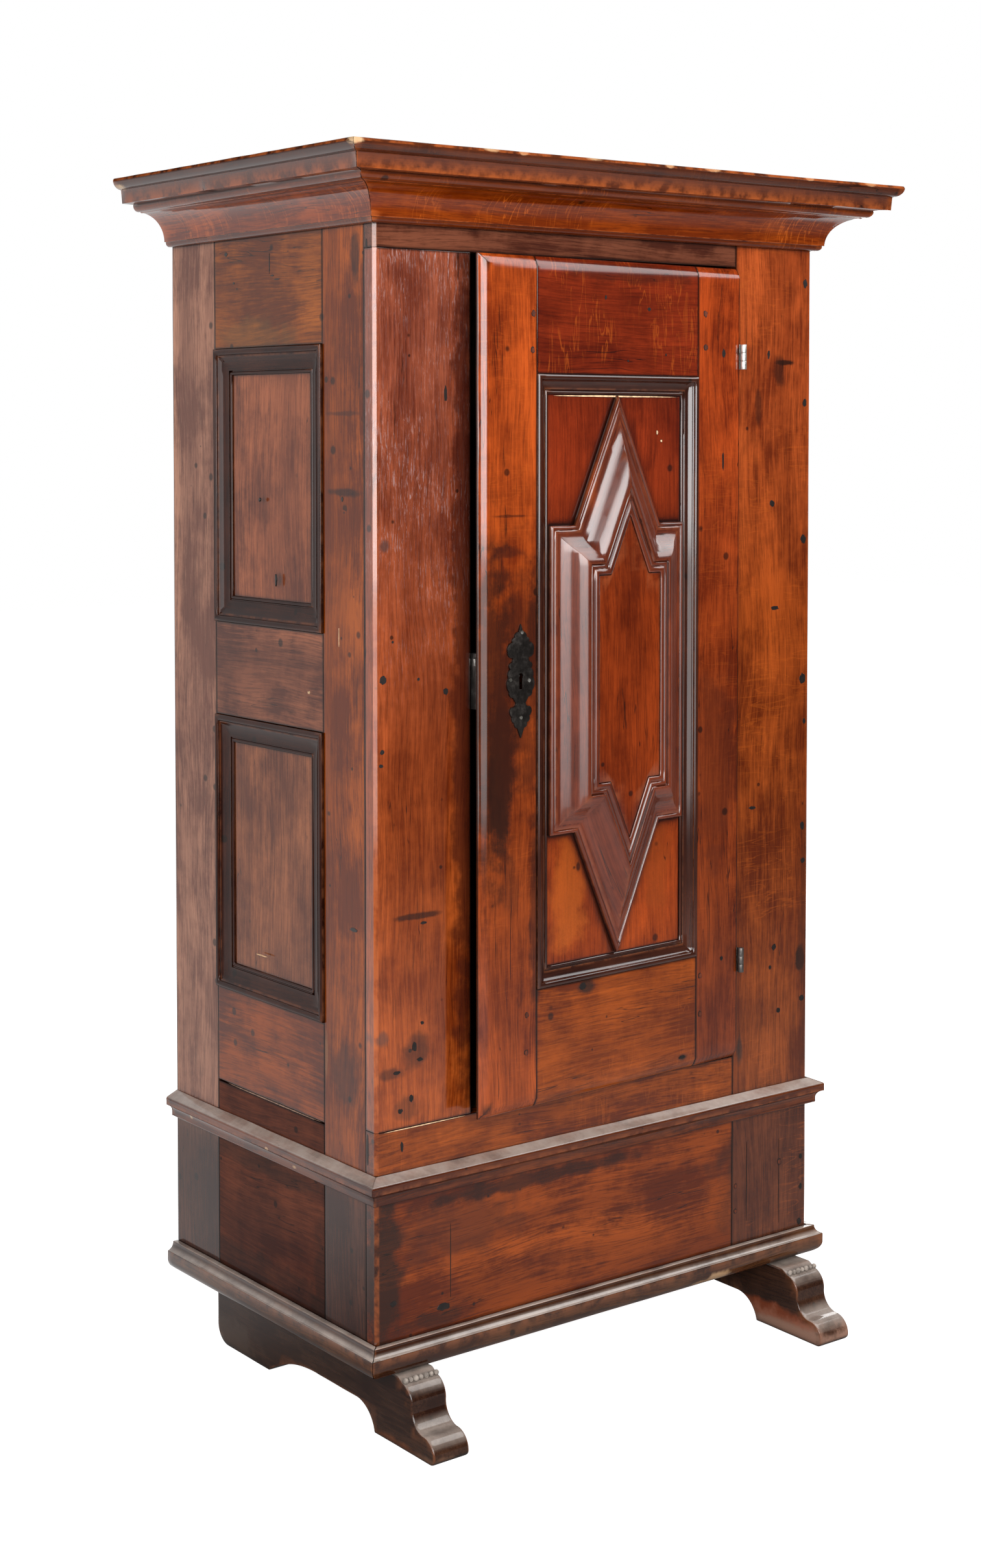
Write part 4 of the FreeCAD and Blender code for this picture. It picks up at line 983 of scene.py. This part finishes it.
# %% Knots
black_mark = plain_material("black mark", "#140C09", 0.45)
FRONT_KNOTS = [
    (427, 1740, 5, 8), (427, 1542, 5, 8), (426, 1315, 7, 8), (426, 1082, 7, 10), (344, 1621, 3, 8),
    (354, 1376, 6, 6), (361, 1203, 10, 4), (-427, 1133, 7, 7), (-314, 1110, 5, 6), (-364, 1131, 2.5, 2.5),
    (-410, 1188, 2, 2), (-314, 1550, 3, 14), (-355, 769, 6, 2.5), (-358, 620, 3.5, 3), (-429, 1028, 4, 4),
    (-431, 1008, 4, 3), (427, 834, 5, 8), (430, 1010, 4, 5), (429, 775, 5, 5), (363, 637, 5, 6),
    (428, 542, 6, 6), (312, 875, 9, 3), (354, 604, 3, 4), (374, 529, 5, 5), (-319, 184, 14, 6),
    (-411, 209, 6, 5), (-372, 586, 5, 8), (-362, 566, 6, 3), (-398, 494, 5, 4), (-378, 510, 4, 6),
    (-404, 552, 7, 3), (428, 272, 4, 5), (428, 221, 4, 6), (425, 162, 5, 7), (-395, 441, 3, 8)]
DOOR_KNOTS = [
    (-41, 1620, 4, 8), (-42, 1448, 2, 17), (-210, 1685, 4, 3), (-304, 1700, 2, 4), (-256, 1604, 2, 2),
    (-173, 1615, 2, 2), (-41, 639, 4, 4), (-350, 641, 8, 6), (-131, 492, 8, 3)]
SIDE_KNOTS = [
    (184, 1773, 5, 4), (161, 1727, 3, 2), (-143, 1395, 3, 4), (88, 1389, 2.5, 3), (42, 1267, 2, 10),
    (-170, 760, 11, 3), (89, 372, 10, 5), (56, 1752, 1.2, 18), (48, 1733, 5, 1.2), (35, 1727, 10, 1)]
patches("front_knots", "front", black_mark, FRONT_KNOTS)
patches("door_knots", "door", black_mark, DOOR_KNOTS)
patches("side_knots", "side", black_mark, SIDE_KNOTS)
print("knots", len(FRONT_KNOTS) + len(DOOR_KNOTS) + len(SIDE_KNOTS))

# %% Pegs and nails
dark_ring = plain_material("dark ring", "#1C0E09", 0.5)
peg_end = plain_material("peg end", "#5A2814", 0.45)
PEG_LIFT, PEG_RAGGED, PEG_SHARE = 0.0005, 0.06, 0.78
DOOR_PEGS = [(-84, 1682, 5, 6), (-83, 1629, 5, 6), (-453, 1671, 4.5, 5.5), (-455, 1616, 4.5, 5.5),
             (-466, 615, 4.5, 5), (-467, 558, 4.5, 5), (-91, 618, 4.5, 5), (-91, 556, 4.5, 5)]
FRONT_PEGS = [(278, 250, 4, 4.5), (278, 208, 4, 4.5), (378, 272, 5, 6)]
for face, pegs in (("door", DOOR_PEGS), ("front", FRONT_PEGS)):
    patches(face + "_peg_rings", face, dark_ring, pegs)
    patches(face + "_pegs", face, peg_end, pegs, PEG_LIFT, PEG_RAGGED, PEG_SHARE)
FACES["plate"] = ("door", "dark_iron", -DOOR_BACK, plate_place)
PLATE_NAILS = [(-478, 1195, 3, 3), (-501, 1125, 3, 3), (-464, 1122, 3, 3), (-480, 1067, 3, 3)]
patches("key_plate_nails", "plate", steel, PLATE_NAILS, 0.0012, 0.05)
print("pegs", len(DOOR_PEGS) + len(FRONT_PEGS), "nails", len(PLATE_NAILS))

# %% Seams, pale chips and painted highlight lines
pale_wood_and_highlight = plain_material("raw wood and highlight", "#D9B48C", 0.7)
highlight_line = plain_material("highlight line", "#9A7A68", 0.5)
SEAMS = [(-306, 252, 0.7, 66), (303, 253, 0.8, 78), (377, 240, 0.8, 84)]
SIDE_SEAMS = [(-200, 1130, 1.0, 740), (-207, 1766, 3, 8), (-205, 440, 3, 27)]
PALE_SIDE = [(-51, 1101, 4, 2.2), (88, 676, 14, 0.6), (-17, 612, 7, 0.6), (-133, 1187, 0.6, 16)]
patches("plinth_seams", "front", dark_ring, SEAMS, 0.0001, 0.0)
patches("side_seams", "side", dark_ring, SIDE_SEAMS, 0.0001, 0.0)
# rail_edge paints a highlight, with some dust, on the lower rail's top edge under the left stile; panel_edge is a
# pale line under the panel's top moulding.
patches("rail_edge", "front", pale_wood_and_highlight, [(-355, 466.8, 86, 0.7)], 0.0003, 0.1)
patches("panel_edge", "panel", pale_wood_and_highlight, [(-273, 1549, 142, 1.4)], 0.0006, 0.12)
# side_edge paints a thin highlight along the side at 451 mm.
patches("side_edge", "side", highlight_line, [(60, 451.4, 145, 0.6)], 0.0002, 0.1)
patches("pale_side_chips", "side", pale_wood_and_highlight, PALE_SIDE, 0.0003, 0.3)
patches("pale_panel_chips", "panel", pale_wood_and_highlight, [(-181, 1493, 2, 3), (-172, 1480, 2, 2)], 0.0003, 0.3)
print("seams", len(SEAMS) + len(SIDE_SEAMS))

# %% [markdown]
# ## Beads on the toes
# Where each toe comes out from under the case, the carver cut a row of small beads. They are all
# alike, so one bead is set out along a line by a node tree that gives each a slightly different
# size. Three centuries of dust lie on them.


# %% Bead row
def make_bead_tree():
    tree = bpy.data.node_groups.new("bead row", "GeometryNodeTree")
    for socket, kind in (("Count", "NodeSocketInt"), ("Pitch", FLOAT), ("Radius", FLOAT),
                         ("Seed", "NodeSocketInt"), ("Material", "NodeSocketMaterial")):
        tree.interface.new_socket(socket, in_out="INPUT", socket_type=kind)
    tree.interface.new_socket("Geometry", in_out="OUTPUT", socket_type="NodeSocketGeometry")
    g = Graph(tree)
    given = g.add("NodeGroupInput").outputs
    step = g.add("ShaderNodeCombineXYZ", {0: given["Pitch"]}).outputs[0]
    line = g.add("GeometryNodeMeshLine", {"Count": given["Count"], "Offset": step}).outputs["Mesh"]
    bead = g.add("GeometryNodeMeshIcoSphere", {"Radius": given["Radius"], "Subdivisions": 3}).outputs["Mesh"]
    size = g.add("FunctionNodeRandomValue", {2: 0.82, 3: 1.05, "Seed": given["Seed"]}).outputs[1]
    row = g.add("GeometryNodeInstanceOnPoints", {"Points": line, "Instance": bead, "Scale": size}).outputs[0]
    solid = g.add("GeometryNodeRealizeInstances", {"Geometry": row}).outputs[0]
    painted = g.add("GeometryNodeSetMaterial", {"Geometry": solid, "Material": given["Material"]}).outputs[0]
    g.add("NodeGroupOutput", {"Geometry": painted})
    return tree


bead_tree = make_bead_tree()
dusty_bead = plain_material("dusty bead", "#8C8178", 0.8)
BEADS = 7
BEADS_BACK, BEADS_UP = 0.0770, 0.1022


def bead_row(side):
    """The beads of one toe as a plain mesh."""
    low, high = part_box(side + "_foot")
    pitch = (high.x - low.x) / BEADS
    carrier = bpy.data.objects.new(side + "_bead_carrier", bpy.data.meshes.new("carrier"))
    scene.collection.objects.link(carrier)
    modifier = carrier.modifiers.new("beads", "NODES")
    modifier.node_group = bead_tree
    sockets = bead_tree.interface.items_tree
    named = {item.name: item.identifier for item in sockets if item.in_out == "INPUT"}
    values = {"Count": BEADS, "Pitch": pitch, "Radius": pitch / 2, "Seed": 4, "Material": dusty_bead}
    for name, value in values.items():
        modifier[named[name]] = value
    bpy.context.view_layer.update()
    mesh = bpy.data.meshes.new_from_object(carrier.evaluated_get(bpy.context.evaluated_depsgraph_get()))
    bpy.data.objects.remove(carrier)
    mesh.name = side + "_toe_beads"
    mesh.transform(Matrix.Translation((low.x + pitch / 2, low.y + BEADS_BACK, BEADS_UP)))
    mesh.polygons.foreach_set("use_smooth", [True] * len(mesh.polygons))
    piece = bpy.data.objects.new(side + "_toe_beads", mesh)
    scene.collection.objects.link(piece)
    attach(piece, "case")
    return piece


for side in ("left", "right"):
    print(bead_row(side).name)

# %% [markdown]
# ## Floor and light
# The cupboard stands in a plain white studio. The floor is pale and keeps the object's shadow. Soft
# lamps stand where the photograph's reflections ask for them. A key lamp and a low lamp under it
# stand in front, a little to the left, and light the front boards. Two lamps further left draw the
# pale sheen on the planed corner and on the star's left slopes, and a weak one reaches the side. A
# high lamp at the right shines on every slope that faces up, and the last one lights the back. The
# room at the front right stays dim, because the flat front boards mirror it: that keeps them deep
# and rich in colour. Whatever faces back mirrors the white backdrop.


# %% Lamps
def soft_lamp(name, place, target, width, height, radiance):
    """A rectangular lamp with a given brightness of its face."""
    lamp_data = bpy.data.lights.new(name, "AREA")
    lamp_data.shape = "RECTANGLE"
    lamp_data.size = width
    lamp_data.size_y = height
    lamp_data.energy = radiance * math.pi * width * height
    lamp = bpy.data.objects.new(name, lamp_data)
    lamp.location = place
    lamp.rotation_euler = (Vector(target) - Vector(place)).to_track_quat("-Z", "Y").to_euler()
    scene.collection.objects.link(lamp)


LAMPS = {
    "key lamp": ((-0.75, -3.45, 2.05), (-0.15, -0.2, 1.2), 2.2, 1.9, 8.4),
    "low lamp": ((-0.75, -3.45, 0.72), (-0.15, -0.2, 0.9), 2.2, 0.7, 2.6),
    "left lamp": ((-2.65, -2.05, 1.85), (-0.3, -0.2, 1.1), 1.2, 1.7, 8.0),
    "low left lamp": ((-2.65, -2.05, 0.70), (-0.3, -0.2, 0.8), 1.2, 0.6, 3.0),
    "high lamp": ((1.6, -0.9, 2.9), (0.0, -0.2, 0.9), 2.0, 1.6, 4.0),
    "back lamp": ((2.8, 2.8, 2.2), (0.2, 0.2, 1.0), 2.2, 2.2, 6.0),
    "side lamp": ((-3.6, 0.3, 1.9), (-0.4, 0.0, 1.0), 1.6, 2.2, 3.0)}
for name, setting in LAMPS.items():
    soft_lamp(name, *setting)
print("lamps:", *LAMPS)

# %% [markdown]
# ## A floor and a room that light and reflect differently
# A white floor under a glossy object would throw a grey haze over it. So the floor is grey as far
# as its light goes, and glows white only to the camera and to reflected rays that meet it behind
# the object. The room around works the same way: white to the camera and behind, dim elsewhere.

# %% Floor and room
FLOOR_REACH = 15.0
FLOOR_TONE, FLOOR_GLOW = 0.35, 0.96
WHITE = (1.0, 1.0, 1.0, 1.0)
ROOM_LIGHT, ROOM_LOSS = 0.15, 0.07


def make_floor():
    mesh = bpy.data.meshes.new("studio_floor")
    corners = [(x * FLOOR_REACH, y * FLOOR_REACH, 0) for x, y in ((-1, -1), (1, -1), (1, 1), (-1, 1))]
    mesh.from_pydata(corners, [], [(0, 1, 2, 3)])
    floor = bpy.data.objects.new("studio_floor", mesh)
    scene.collection.objects.link(floor)
    material, g = new_material("pale floor")
    paint = g.add("ShaderNodeBsdfDiffuse", {"Color": (FLOOR_TONE, FLOOR_TONE, FLOOR_TONE, 1.0)})
    glow = g.add("ShaderNodeEmission", {"Color": WHITE, "Strength": FLOOR_GLOW})
    both = g.add("ShaderNodeAddShader", {0: paint.outputs[0], 1: glow.outputs[0]})
    rays = g.add("ShaderNodeLightPath").outputs
    seen = g.math("MAXIMUM", rays["Is Camera Ray"], rays["Is Transmission Ray"])
    place = g.add("ShaderNodeTexCoord").outputs["Object"]
    behind = g.ramp(g.add("ShaderNodeSeparateXYZ", {0: place}).outputs["Y"], 0.0, 0.8)
    seen = g.math("MAXIMUM", seen, g.times(rays["Is Glossy Ray"], behind))
    pick = g.add("ShaderNodeMixShader", {0: seen, 1: paint.outputs[0], 2: both.outputs[0]})
    g.add("ShaderNodeOutputMaterial", {"Surface": pick.outputs[0]})
    floor.data.materials.append(material)


def make_room():
    """White to the camera, white behind the object to reflected rays, dim elsewhere."""
    world = bpy.data.worlds.new("white room")
    world.use_nodes = True
    scene.world = world
    g = Graph(world.node_tree)
    rays = g.add("ShaderNodeLightPath").outputs
    heading = g.add("ShaderNodeTexCoord").outputs["Generated"]
    rearward = g.ramp(g.add("ShaderNodeSeparateXYZ", {0: heading}).outputs["Y"], -0.15, 0.35)
    reflected = g.math("MAXIMUM", rays["Is Glossy Ray"], rays["Is Transmission Ray"])
    backdrop = g.math("MAXIMUM", rays["Is Camera Ray"], g.times(reflected, rearward))
    dim = g.math("SUBTRACT", ROOM_LIGHT, g.times(reflected, ROOM_LOSS))
    strength = g.add("ShaderNodeMix", {0: backdrop, 2: dim, 3: 1.0}).outputs[0]
    light = g.add("ShaderNodeBackground", {"Color": WHITE, "Strength": strength})
    g.add("ShaderNodeOutputWorld", {"Surface": light.outputs[0]})


make_floor()
make_room()
print("floor", FLOOR_REACH * 2, "metres wide")
